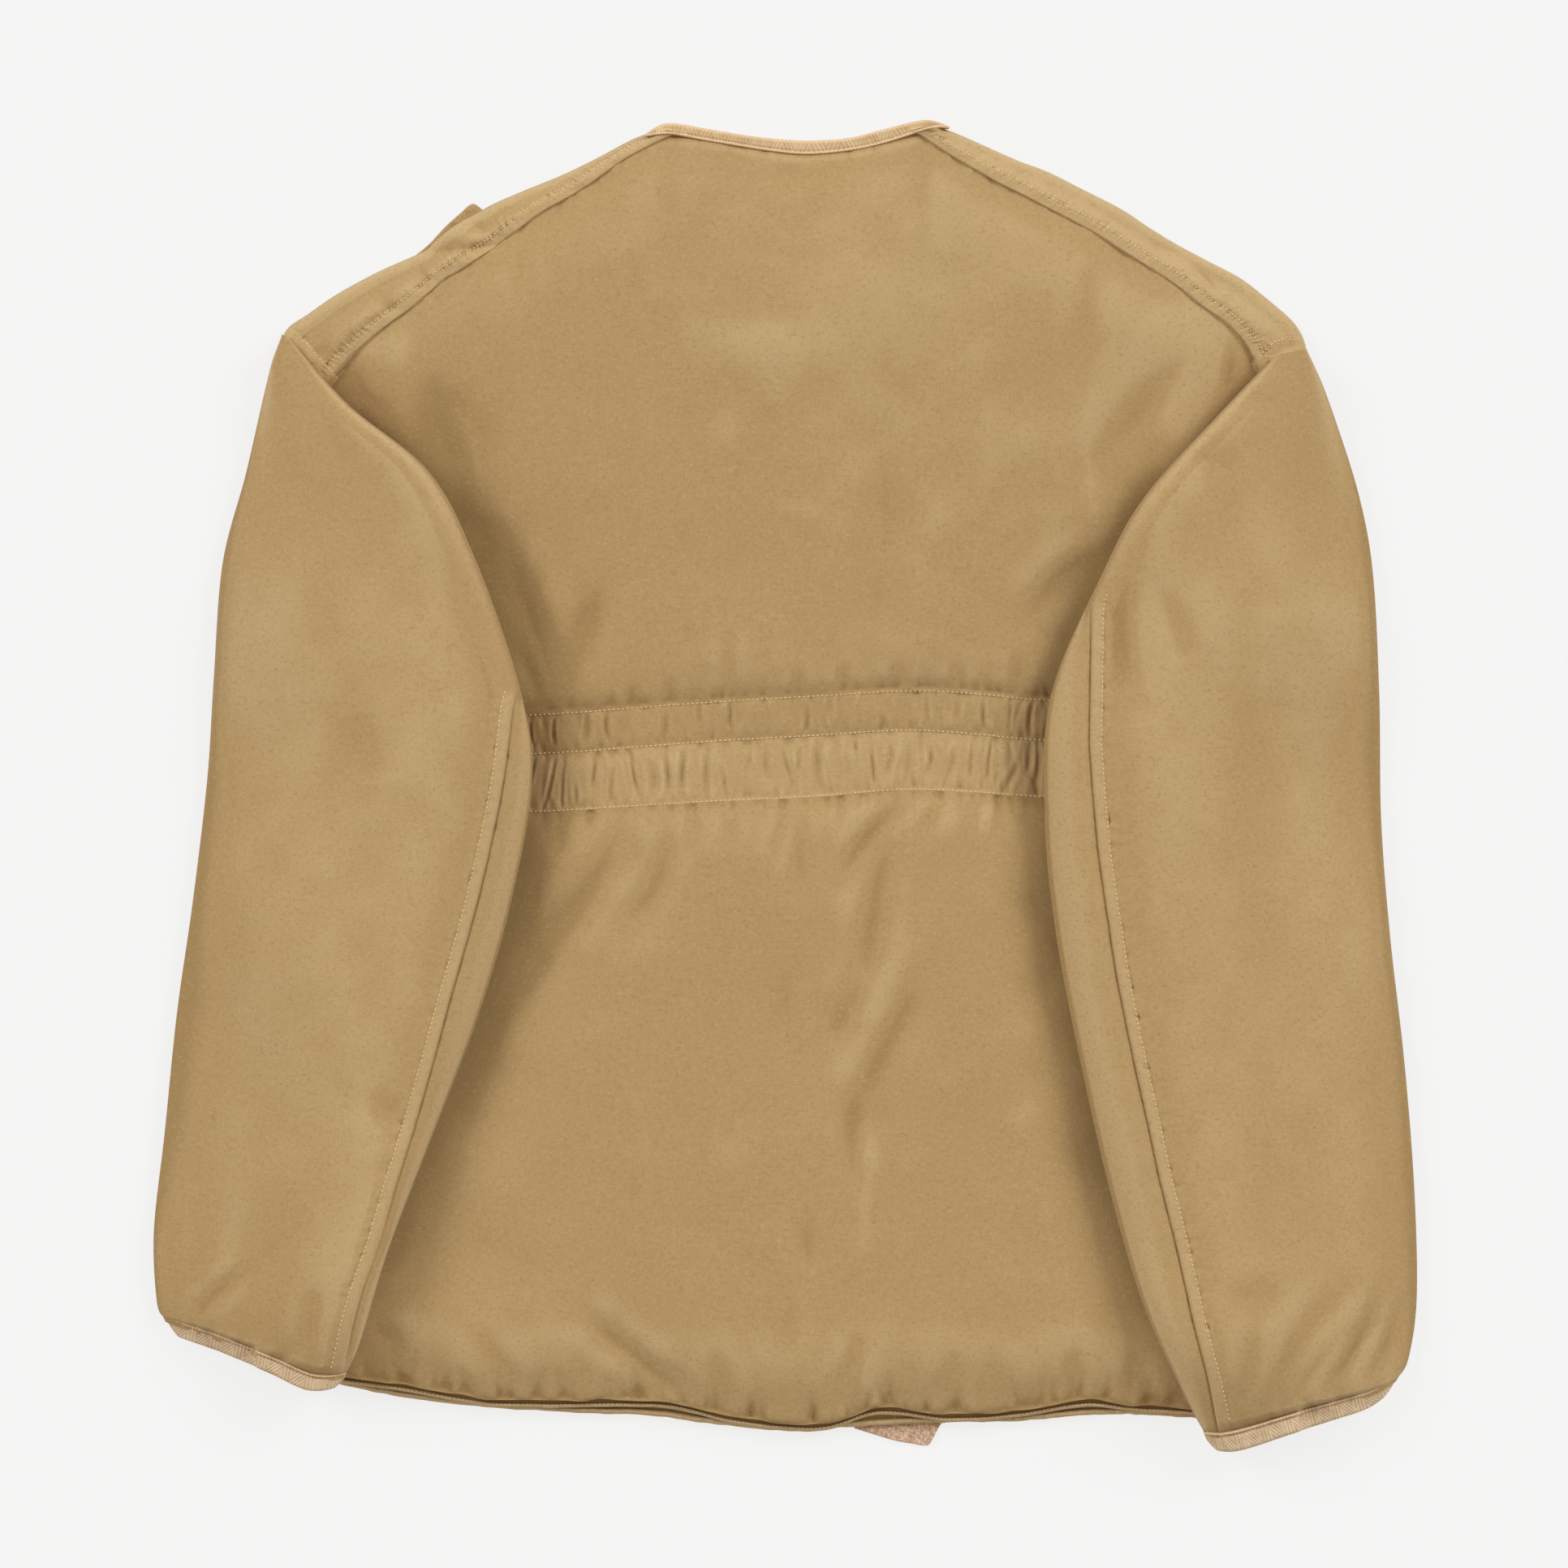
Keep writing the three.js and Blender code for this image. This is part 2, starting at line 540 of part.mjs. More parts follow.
// ---- sleeves ----
function sleeve(name, table) {
  const around = 20;
  const along = 24;
  const ring = (share, slit) => {
    const [outerX, outerY, innerX, innerY] = rowAt(table, share);
    const width = Math.hypot(outerX - innerX, outerY - innerY);
    const full = Math.min(lerp(SLEEVE_LOFT, CUFF_LOFT, smoothstep(share, 0.86, 1)), 0.35 * width + 4);
    return Array.from({ length: around }, (_, i) => {
      const angle = 2 * Math.PI * i / around;
      const reach = slit ? 0.5 - 7 / width : 0.5;
      const [x, y] = mix([innerX, innerY], [outerX, outerY], 0.5 + reach * Math.cos(angle));
      const round = Math.abs(Math.sin(angle)) ** 0.55;
      const base = sleeveSupport(x, y);
      const slope = backTop(x, y) * (1 - smoothstep(-inBody(x, y), -25, 45));
      const crown = Math.max(slope, base) + full * (0.25 + 0.75 * round) - sleeveFold(x, y) * round;
      const floor = base + full * 0.16 * Math.max(0, 1 - 2 * Math.abs(Math.sin(angle)));
      if (slit) return new THREE.Vector3(x, y, (floor + crown) / 2 + 0.5 * SLIT * Math.sin(angle));
      if (Math.abs(Math.sin(angle)) < 0.01) return new THREE.Vector3(x, y, (floor + crown) / 2);
      return new THREE.Vector3(x, y, Math.sin(angle) > 0 ? crown : floor);
    });
  };
  const outside = steps(0, 1, along).map((share) => ring(share, false));
  const inside = steps(1, 0.22, along / 2).map((share) => ring(share, true));
  return chain(name, [...outside, ...inside], { joined: false, colour: COLOUR.shell });
}

// ---- the jacket ----
const jacket = new THREE.Group();
jacket.name = 'down_jacket';
jacket.add(front(-1), front(1), backUpper(), backLower());
jacket.add(gathered('waist_channel', waistTop, waistMiddle, CHANNEL, COLOUR.shell));
jacket.add(gathered('waist_casing', waistMiddle, waistBottom, CASING, COLOUR.casing));
jacket.add(shoulder('shoulder_left', LEFT_SHOULDER), shoulder('shoulder_right', RIGHT_SHOULDER));
jacket.add(hemBand('hem_band_back', hemColumns, across(waistBottom, backHem), support));
jacket.add(hemBand('hem_band_front_left', frontColumns, acrossFront(-1), () => 0));
jacket.add(hemBand('hem_band_front_right', frontColumns, acrossFront(1), () => 0));
jacket.add(neckTape());
jacket.add(tapeCorner('front_edge_tab', FRONT_EDGE_TAB), tapeCorner('shoulder_corner', SHOULDER_CORNER));
jacket.add(sleeve('sleeve_left', LEFT_SLEEVE), sleeve('sleeve_right', RIGHT_SLEEVE));
jacket.add(cuffTape('cuff_tape_left', CUFF.left), cuffTape('cuff_tape_right', CUFF.right));

const box = new THREE.Box3().setFromObject(jacket, true);
const middle = box.getCenter(new THREE.Vector3());
jacket.position.set(-middle.x, -middle.y, -box.min.z);

export default jacket;
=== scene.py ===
# %% [markdown]
# # A lightly filled down jacket, laid flat on its front
# The jacket is cut from thin cotton, filled with a little down, and sewn from flat panels. We load its solid
# model as a fixed frame, then make each panel again as fine cloth that fills the space of its solid.

# %% Load the frame
import math
import bmesh
import bpy
import numpy as np
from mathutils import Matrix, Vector
from mathutils.bvhtree import BVHTree


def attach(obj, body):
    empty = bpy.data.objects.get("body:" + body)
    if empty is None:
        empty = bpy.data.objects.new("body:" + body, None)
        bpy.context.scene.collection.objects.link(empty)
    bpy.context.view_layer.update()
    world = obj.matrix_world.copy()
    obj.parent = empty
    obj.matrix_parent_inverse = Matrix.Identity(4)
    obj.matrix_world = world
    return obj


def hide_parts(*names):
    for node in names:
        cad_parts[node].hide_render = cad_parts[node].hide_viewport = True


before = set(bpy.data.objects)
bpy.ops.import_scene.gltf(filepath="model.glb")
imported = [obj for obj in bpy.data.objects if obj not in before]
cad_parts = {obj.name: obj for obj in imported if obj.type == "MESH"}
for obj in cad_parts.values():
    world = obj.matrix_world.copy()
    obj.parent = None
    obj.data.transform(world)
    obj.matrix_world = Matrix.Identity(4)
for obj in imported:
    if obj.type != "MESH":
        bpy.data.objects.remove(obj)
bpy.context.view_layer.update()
MM = 0.001

# %% [markdown]
# The seams cross the jacket from side to side, so each is a short table of points in millimetres, and a smooth
# curve runs through them. Curves are better than straight edges here, because cloth never lies in facets.

# %% The lines of the cut
SHIFT = (-0.7, -0.4)          # from the origin of these tables to that of the frame, in millimetres
NECK_SEAM = [(-64.5, 362.8), (-44, 360.5), (-9, 355), (12, 353), (37, 355), (56, 359), (76.5, 363.5)]
WAIST_TOP = [(-275, 35), (-142, 39), (-44, 46), (15, 49.5), (80, 52.5), (146, 47.5), (281, 40.5)]
WAIST_MIDDLE = [(-271, 12.5), (-137, 16.5), (-38, 23.5), (15, 26.5), (74, 29.5), (146, 24), (278, 18)]
WAIST_BOTTOM = [(-273, -19.5), (-142, -16), (-38, -10), (15, -7.5), (74, -3.5), (144, -7.5), (281, -14)]
BACK_HEM = [
    (-291, -318), (-264, -329), (-217, -336), (-168, -344.5), (-139, -345.5), (-65, -346), (-30, -354.5),
    (8, -358.5), (25, -358), (53, -349.5), (92, -353.5), (128, -351.5), (170, -345), (192, -347.5),
    (246, -349.5), (292, -342.5), (305, -335),
]
FRONT_HEM = [
    (-292, -323), (-246, -336), (-204, -344), (-163, -348.5), (-109, -351.5), (-73, -353), (-45, -357),
    (0, -361.5), (20, -361.5), (33, -359.5), (87, -357), (128, -356), (165, -353), (192, -352),
    (208, -353), (246, -354), (292, -347), (306, -340),
]
LEFT_SIDE = [
    (-361, -292), (-287, -292), (-151, -285), (-60, -279), (-19, -272), (12, -270), (35, -274),
    (90, -279), (144, -248), (176, -242), (228.5, -256.5),
]
RIGHT_SIDE = [
    (-361, 306), (-287, 306), (-151, 296), (-60, 287), (-14, 280), (18, 277), (40, 280),
    (94, 289), (148, 267), (185, 260), (235, 269),
]
LEFT_SHOULDER = [
    (-64.5, 362.8, -76, 365), (-80, 355, -87, 359.5), (-95, 346, -105, 350), (-114, 332.5, -123, 341),
    (-135, 320.5, -143.5, 332.5), (-152, 308, -161, 325), (-161.5, 300.5, -170.5, 319.8),
    (-173, 293, -184.5, 312), (-184.5, 285.5, -195, 303.5), (-190.5, 282, -202, 297.5),
    (-207.5, 267.5, -225.5, 287), (-225, 254.5, -248, 275), (-240, 241.5, -265, 263.5),
    (-252.5, 228.5, -279, 252.5),
]
RIGHT_SHOULDER = [
    (76.5, 363.5, 90.5, 367), (93.5, 352, 108, 359), (117.5, 338, 130, 349), (134, 329.5, 147, 342.5),
    (151, 320.5, 165, 333.5), (174.5, 308, 187.5, 322), (190, 298, 203.5, 311.5), (206, 288, 219, 302),
    (219, 279.5, 237, 292.5), (231.5, 269.5, 255, 283), (247.5, 258, 270.5, 271), (258, 247.5, 285, 258),
    (265, 235, 291.5, 245),
]
NECK_TAPE = [
    (-77.5, 363.0, -78.2, 364.0), (-63.5, 364.2, -65.5, 370.5), (-44, 361, -43, 367.5),
    (-25.5, 358, -24.5, 364.5), (-9, 355.4, -8.5, 362.5), (12.5, 353.4, 12.5, 361),
    (36.5, 355.4, 36, 362.5), (56, 359.4, 55, 367), (75.5, 365.4, 73.5, 371.5),
    (84.5, 367.8, 83, 372.0), (92.5, 367.6, 92.8, 368.6),
]
LEFT_SLEEVE = [
    (-281, 251.5, -277.5, 250), (-289.5, 219, -243.5, 212), (-300, 173.5, -198, 174),
    (-313, 123.5, -172.5, 126), (-318, 58, -148, 55.5), (-321.5, 3.5, -140.5, 3.5),
    (-329.5, -64.5, -152, -64.5), (-338.5, -128, -171, -130.5), (-345.5, -196, -198, -201),
    (-351.5, -250.5, -220.5, -259.5), (-350, -290, -236, -310), (-346.5, -299.5, -245, -329.5),
]
RIGHT_SLEEVE = [
    (292.5, 243.5, 274.5, 239.5), (307.5, 203.5, 242, 205.5), (321, 160, 201, 160),
    (328.5, 117, 177.5, 117), (332, 49, 149, 49.5), (333, -19.5, 145.5, -19.5),
    (338, -85, 152, -85), (346, -155.5, 165, -153), (351.5, -225.5, 181.5, -225.5),
    (353, -287, 200.5, -290.5), (348.5, -322, 224, -342), (343, -333, 235, -362.5),
]


def through(rows):
    """A smooth function through a table of (at, value) rows in rising order."""
    at, value = (np.array(column, float) for column in zip(*rows))
    slope = np.empty_like(value)
    slope[1:-1] = (value[2:] - value[:-2]) / (at[2:] - at[:-2])
    slope[0] = (value[1] - value[0]) / (at[1] - at[0])
    slope[-1] = (value[-1] - value[-2]) / (at[-1] - at[-2])

    def line(where):
        where = np.clip(where, at[0], at[-1])
        i = np.clip(np.searchsorted(at, where), 1, len(at) - 1)
        t = (where - at[i - 1]) / (at[i] - at[i - 1])
        pull = (at[i] - at[i - 1]) * t * (1 - t)
        ease = t * t * (3 - 2 * t)
        return between(value[i - 1], value[i], ease) + pull * (slope[i - 1] * (1 - t) - slope[i] * t)

    return line


def row_at(table, share):
    """Smooth rows between the rows of a table, at shares of its length: one array for each column."""
    rows = np.array(table, float)
    share = np.asarray(share, float)
    place = share * (len(rows) - 1)
    i = np.clip(np.floor(place).astype(int), 0, len(rows) - 2)
    t = (place - i)[..., None]
    a, b, c, d = (rows[np.clip(i + k, 0, len(rows) - 1)] for k in (-1, 0, 1, 2))
    smooth = b + 0.5 * t * (c - a + t * (2 * a - 5 * b + 4 * c - d + t * (3 * (b - c) + d - a)))
    return np.moveaxis(smooth, -1, 0)


def metres(x, y):
    """Millimetres of the cut as metres of the frame."""
    return (x + SHIFT[0]) * MM, (y + SHIFT[1]) * MM


def between(start, end, share):
    return start + (end - start) * share


def bell(distance, width):
    """1 on a line, and falling softly to nothing over about two widths."""
    return np.exp(-((distance / width) ** 2))


neck_seam, waist_top = through(NECK_SEAM), through(WAIST_TOP)
waist_middle, waist_bottom = through(WAIST_MIDDLE), through(WAIST_BOTTOM)
back_hem, front_hem, left_side, right_side = map(through, (BACK_HEM, FRONT_HEM, LEFT_SIDE, RIGHT_SIDE))
left_shoulder = through([(x, y) for x, y, _, _ in LEFT_SHOULDER][::-1])
right_shoulder = through([(x, y) for x, y, _, _ in RIGHT_SHOULDER])


def shoulder_line(x):
    """The seam along the left shoulder, the neck and the right shoulder."""
    over_right = np.where(x > NECK_SEAM[-1][0], right_shoulder(x), neck_seam(x))
    return np.where(x < NECK_SEAM[0][0], left_shoulder(x), over_right)


def across(u, v, lower, upper):
    """Points of the back between its sides and two lines that cross it."""
    x, y = np.zeros(np.broadcast(u, v).shape), np.zeros(np.broadcast(u, v).shape)
    for _ in range(10):
        x = left_side(y) * (1 - u) + right_side(y) * u
        y = lower(x) * (1 - v) + upper(x) * v
    return x, y


# %% [markdown]
# Cloth shows its softness in folds. Each fold is a short curved stroke that presses the cloth down, or lifts
# it where its depth is negative. A stroke has a slight ridge on each side, because the cloth it takes has to
# go somewhere. A cloth simulation or sculpting could make them too, but strokes in a table are placed and
# changed one at a time.

# %% Folds, puckers and lumps
def stroke_distance(x, y, points):
    """Distance to a chain of points, signed by side, and the share of its length at the nearest point."""
    best = np.full(x.shape, 1e9)
    share = np.zeros(x.shape)
    points = np.array(points, float)
    lengths = np.hypot(*np.diff(points, axis=0).T)
    done, total = 0.0, lengths.sum()
    for (ax, ay), (bx, by), length in zip(points[:-1], points[1:], lengths):
        dx, dy = (bx - ax) / length, (by - ay) / length
        along = np.clip((x - ax) * dx + (y - ay) * dy, 0, length)
        off_x, off_y = x - ax - along * dx, y - ay - along * dy
        distance = np.hypot(off_x, off_y)
        nearer = distance < np.abs(best)
        side = np.where(off_x * dy - off_y * dx >= 0, 1, -1)
        best = np.where(nearer, side * distance, best)
        share = np.where(nearer, (done + along) / total, share)
        done += length
    return best, share


def bent(x0, y0, x1, y1, x2, y2, steps=12):
    """A curve from the first point to the last, pulled towards the middle one."""
    t = np.linspace(0, 1, steps)[:, None]
    a, b, c = np.array([x0, y0]), np.array([x1, y1]), np.array([x2, y2])
    return (1 - t) ** 2 * a + 2 * t * (1 - t) * b + t * t * c


def folded(x, y, folds, wider=1.0, deeper=1.0):
    """How far a table of folds moves the cloth up (+) or down (-)."""
    rise = np.zeros(x.shape)
    for x0, y0, x1, y1, x2, y2, width, depth in folds:
        width, depth = width * wider, depth * deeper
        reach = 4 * width
        low = np.minimum(np.minimum([x0, y0], [x1, y1]), [x2, y2]) - reach
        high = np.maximum(np.maximum([x0, y0], [x1, y1]), [x2, y2]) + reach
        near = (x > low[0]) & (x < high[0]) & (y > low[1]) & (y < high[1])
        distance, share = stroke_distance(x[near], y[near], bent(x0, y0, x1, y1, x2, y2))
        away = np.abs(distance) / width
        fade = np.clip(np.sin(np.pi * np.clip(share, 0.02, 0.98)), 0, 1) ** 0.6
        trough = 0.65 * np.exp(-(away ** 2)) + 0.35 * np.exp(-2.2 * away)
        shoulders = 0.2 * np.exp(-((away - 1.9) ** 2) / 0.7)
        rise[near] -= depth * fade * (trough - shoulders)
    return rise


def lumps(x, y, size, seed):
    """Smooth uneven heights between -1 and 1, about size millimetres apart."""
    grid = np.random.default_rng(seed).uniform(-1, 1, (96, 96))
    gx, gy = x / size + 48.3, y / size + 48.7
    i, j = np.floor(gx).astype(int), np.floor(gy).astype(int)
    tx, ty = gx - i, gy - j
    tx, ty = tx * tx * (3 - 2 * tx), ty * ty * (3 - 2 * ty)
    corner = lambda a, b: grid[(i + a) % 96, (j + b) % 96]
    low = corner(0, 0) * (1 - tx) + corner(1, 0) * tx
    high = corner(0, 1) * (1 - tx) + corner(1, 1) * tx
    return low * (1 - ty) + high * ty


def puckers(along, away, count, span, depth, width, reach, seed):
    """Short troughs that run out from a seam: along it, away from it, both in millimetres."""
    chance = np.random.default_rng(seed)
    rise = np.zeros(along.shape)
    close = (away > -1) & (away < 2.2 * reach)
    here_along, here_away = along[close], away[close]
    total = np.zeros(here_along.shape)
    for place in np.sort(chance.uniform(span[0], span[1], count)):
        slant, long = chance.normal(0, 0.16), chance.uniform(0.35, 1.6)
        deep, wide = chance.uniform(0.3, 1), chance.uniform(0.7, 1.5)
        offset = (here_along - place - slant * here_away) / (wide * width)
        fade = np.clip(1 - here_away / (long * reach), 0, 1) ** 1.3
        total -= deep * depth * fade * np.exp(-(offset ** 2))
    rise[close] = total
    return rise


def stitch_ridges(run, off, pitch, height, reach, seed):
    """Small ridges across a row of stitches, where the thread draws the cloth up between its holes."""
    uneven = 0.6 + 0.5 * lumps(run, 0 * run, 5 * pitch, seed)
    wander = 0.35 * pitch * lumps(run + 0.6 * off, off, 2.4 * pitch, seed + 1)
    return height * uneven * bell(off, reach) * np.cos(2 * math.pi * (run + wander) / pitch)


def smoothstep(value, low, high):
    t = np.clip((value - low) / (high - low), 0, 1)
    return t * t * (3 - 2 * t)


def blurred(grid, rows, columns):
    """A grid of heights, smoothed over a number of rows and columns."""
    for axis, spread in ((0, rows), (1, columns)):
        if spread < 0.5:
            continue
        half = int(3 * spread) + 1
        weights = np.exp(-0.5 * (np.arange(-half, half + 1) / spread) ** 2)
        weights /= weights.sum()
        pad = [(0, 0), (0, 0)]
        pad[axis] = (half, half)
        wide = np.pad(grid, pad, mode="edge")
        grid = sum(w * np.take(wide, np.arange(k, k + grid.shape[axis]), axis) for k, w in enumerate(weights))
    return grid


# %% [markdown]
# The heights come from the solids. A ray falls on them at every crossing of a net over the back, and a blur
# takes out their facets, so all four panels of the back share one soft surface and meet without a step.

# %% Heights from the solids
def surface_of(*pieces):
    """One tree of faces for several objects."""
    points, faces = [], []
    for piece in pieces:
        faces += [tuple(i + len(points) for i in face.vertices) for face in piece.data.polygons]
        points += [vert.co.copy() for vert in piece.data.vertices]
    return BVHTree.FromPolygons(points, faces)


def tree_of(nodes):
    return surface_of(*(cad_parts[node] for node in nodes))


def cast(tree, x, y, from_above=True):
    """Heights in millimetres where vertical rays meet a tree, and where they do."""
    start, way = (1.0, Vector((0, 0, -1))) if from_above else (-1.0, Vector((0, 0, 1)))
    z, hit = np.zeros(x.size), np.zeros(x.size, bool)
    for i, (px, py) in enumerate(zip(*metres(x.ravel(), y.ravel()))):
        found = tree.ray_cast(Vector((px, py, start)), way)[0]
        if found is not None:
            z[i], hit[i] = found.z / MM, True
    return z.reshape(x.shape), hit.reshape(x.shape)


def heights(node, x, y, from_above=True):
    """Heights of one CAD node, also just outside its edge."""
    tree = tree_of([node])
    z, hit = cast(tree, x, y, from_above)
    for i in np.flatnonzero(~hit):
        near = Vector((*metres(x.flat[i], y.flat[i]), 0.03 if from_above else -0.01))
        z.flat[i] = tree.find_nearest(near)[0].z / MM
    return z


def field(nodes, low, high, step, spread, from_above=True):
    """A soft height field over the CAD nodes, to be read at any x and y."""
    xs, ys = np.arange(low[0], high[0], step), np.arange(low[1], high[1], step)
    z, hit = cast(tree_of(nodes), *np.meshgrid(xs, ys), from_above)
    weight = blurred(hit.astype(float), spread / step, spread / step)
    soft = blurred(z * hit, spread / step, spread / step) / np.maximum(weight, 1e-6)
    for _ in range(24):                      # carries the heights a little past the edge
        empty = weight < 1e-3
        weight = np.where(empty, blurred(np.where(empty, 0, 1.0), 1, 1), weight)
        soft = np.where(empty, blurred(np.where(empty, 0, soft), 1, 1) / np.maximum(weight, 1e-6), soft)

    def read(x, y):
        i = np.clip((x - xs[0]) / step, 0, len(xs) - 1.001)
        j = np.clip((y - ys[0]) / step, 0, len(ys) - 1.001)
        a, b = i.astype(int), j.astype(int)
        s, t = i - a, j - b
        return (soft[b, a] * (1 - s) + soft[b, a + 1] * s) * (1 - t) \
            + (soft[b + 1, a] * (1 - s) + soft[b + 1, a + 1] * s) * t

    return read


BACK = ("back_upper", "waist_channel", "waist_casing", "back_lower")
lie = field(BACK, (-300, -366), (312, 372), 2.5, 7)
floor_of_back = field(BACK, (-300, -366), (312, 372), 5, 5, from_above=False)
print("the back is", round(float(lie(np.array([0.0]), np.array([200.0]))[0]), 1), "mm high above the waist")

# %% [markdown]
# Every panel starts from bmesh's grid operator. Its points are moved to the panel's place, and extruding all
# its faces gives the underside. A value on each point of the top tells the dye how high it stands above the
# cloth round it. Raised cloth is drawn paler, partly as wear and partly as painted light, and hollows are
# drawn darker, which is painted shade.

# %% Panels from grids
def cloth_object(name, bm, nodes=()):
    """Turns a bmesh into a smooth object that rides on the jacket and replaces CAD nodes."""
    mesh = bpy.data.meshes.new(name)
    bm.to_mesh(mesh)
    bm.free()
    mesh.polygons.foreach_set("use_smooth", [True] * len(mesh.polygons))
    mesh.set_sharp_from_angle(angle=math.radians(55))
    piece = bpy.data.objects.new(name, mesh)
    bpy.context.collection.objects.link(piece)
    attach(piece, "root")
    if nodes:
        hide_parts(*nodes)
    print(name, "has", len(mesh.polygons), "faces")
    return piece


def map_along(bm, place, along, side):
    """A map of coordinates, in metres, that follows a strip."""
    uv = bm.loops.layers.uv.new("along")
    u, v = (along.ravel() * MM).tolist(), (side.ravel() * MM).tolist()
    for face in bm.faces:
        for loop in face.loops:
            loop[uv].uv = (u[loop.vert[place]], v[loop.vert[place]])


def slab(name, x, y, top, bottom, nodes=(), along=None, side=None, fade=0.0):
    """A closed panel with a fine top and underside, from grids of millimetres."""
    rows, count = x.shape
    bm = bmesh.new()
    wear_and_shade, place = bm.verts.layers.float.new("wear_and_shade"), bm.verts.layers.int.new("place")
    bmesh.ops.create_grid(bm, x_segments=count - 1, y_segments=rows - 1, size=1)
    for i, vert in enumerate(bm.verts):
        vert[place] = i
    upper = bmesh.ops.extrude_face_region(bm, geom=bm.faces[:])["geom"]
    # height above the cloth round it, plus fade: paler on ridges and darker in hollows, partly wear and partly
    # painted light and shade
    relief = (top - blurred(top, 4, 4) + fade).ravel()
    px, py = (values.tolist() for values in metres(x.ravel(), y.ravel()))
    high, low = (top.ravel() * MM).tolist(), (bottom.ravel() * MM).tolist()
    raised = {item for item in upper if isinstance(item, bmesh.types.BMVert)}
    for vert in bm.verts:
        i = vert[place]
        on_top = vert in raised
        vert.co = (px[i], py[i], high[i] if on_top else low[i])
        vert[wear_and_shade] = relief[i] if on_top else 0.0
    if along is not None:
        map_along(bm, place, along, side)
    bmesh.ops.recalc_face_normals(bm, faces=bm.faces)
    return cloth_object(name, bm, nodes)


SHOWN = (0.14, 0.82)          # share of the back's width between the sleeves
GAP = 0.02                    # sewn edges lie against each other


def columns(hidden, shown):
    """Shares of the back's width: few under the sleeves, many where the back shows."""
    return np.concatenate([
        np.linspace(0, SHOWN[0], hidden, endpoint=False),
        np.linspace(SHOWN[0], SHOWN[1], shown, endpoint=False),
        np.linspace(SHOWN[1], 1, hidden),
    ])


def eased(count, edge=0.6):
    """Shares of a length that lie closer together at both ends."""
    t = np.linspace(0, 1, count)
    return (1 - edge) * t + edge * (0.5 - 0.5 * np.cos(np.pi * t))


def rim_round(distance, radius):
    """0 at a rim and 1 one radius inside it: steep at the rim, and without a line where it levels out."""
    t = np.clip(distance / radius, 0, 1)
    return np.sqrt(1 - (1 - t) ** 3)


# %% [markdown]
# The back is cut in two panels with two stitched channels between them at the waist. One function gives the
# relief of all four, so a pucker that starts at a row of stitches runs on across it.

# %% Folds of the back: x0, y0, x1, y1, x2, y2, width, depth
UPPER_FOLDS = [
    (-196, 232, -192, 176, -173, 151, 10, 2.2), (-173, 151, -167, 140, -160, 130, 8, 1.6),
    (-243, 224, -234, 211, -226, 209, 5, 1.2), (-240, 209, -236, 204, -232, 198, 4, 1.0),
    (-158, 137, -137, 77, -126, 47, 10, 4.0), (-149, 76, -143, 62, -137, 47, 6, 2.0),
    (-167, 126, -156, 96, -144, 67, 14, -0.5), (-103, 112, -117, 68, -122, 55, 9, 2.2),
    (-31, 85, -31, 69, -31, 53, 4, 1.2), (8, 64, 8, 56, 8, 48, 4, 1.2),
    (33, 67, 33, 58, 34, 50, 4, 1.2), (132, 73, 131, 62, 130, 51, 5, 1.4),
    (96, 69, 97, 61, 98, 53, 4, 0.9), (53, 189, 63, 132, 46, 76, 12, 2.0),
    (250, 248, 249, 234, 248, 221, 4, 1.8), (230, 248, 202, 211, 169, 178, 9, 1.1),
    (178, 128, 144, 114, 137, 91, 8, 2.2), (171, 293, 169, 275, 166, 230, 8, 1.2),
    (-147, 298, -147, 285, -147, 273, 6, 1.2), (3, 348, 4, 340, 5, 332, 6, 1.0),
    (-85, 57, -84, 49, -83, 41, 4, 1.1), (-63, 60, -64, 52, -66, 45, 4, 1.0),
    (64, 69, 63, 61, 63, 53, 5, 1.0), (-185, 225, -181, 214, -176, 203, 8, 1.2),
    (219, 203, 207, 189, 196, 175, 10, 0.8), (-35, 302, -6, 280, 33, 293, 16, -0.8),
    (-94, 248, -65, 207, -81, 148, 18, -1.0), (101, 248, 126, 191, 105, 144, 18, -1.0),
    (-17, 248, -6, 184, -22, 121, 16, 0.8),
]
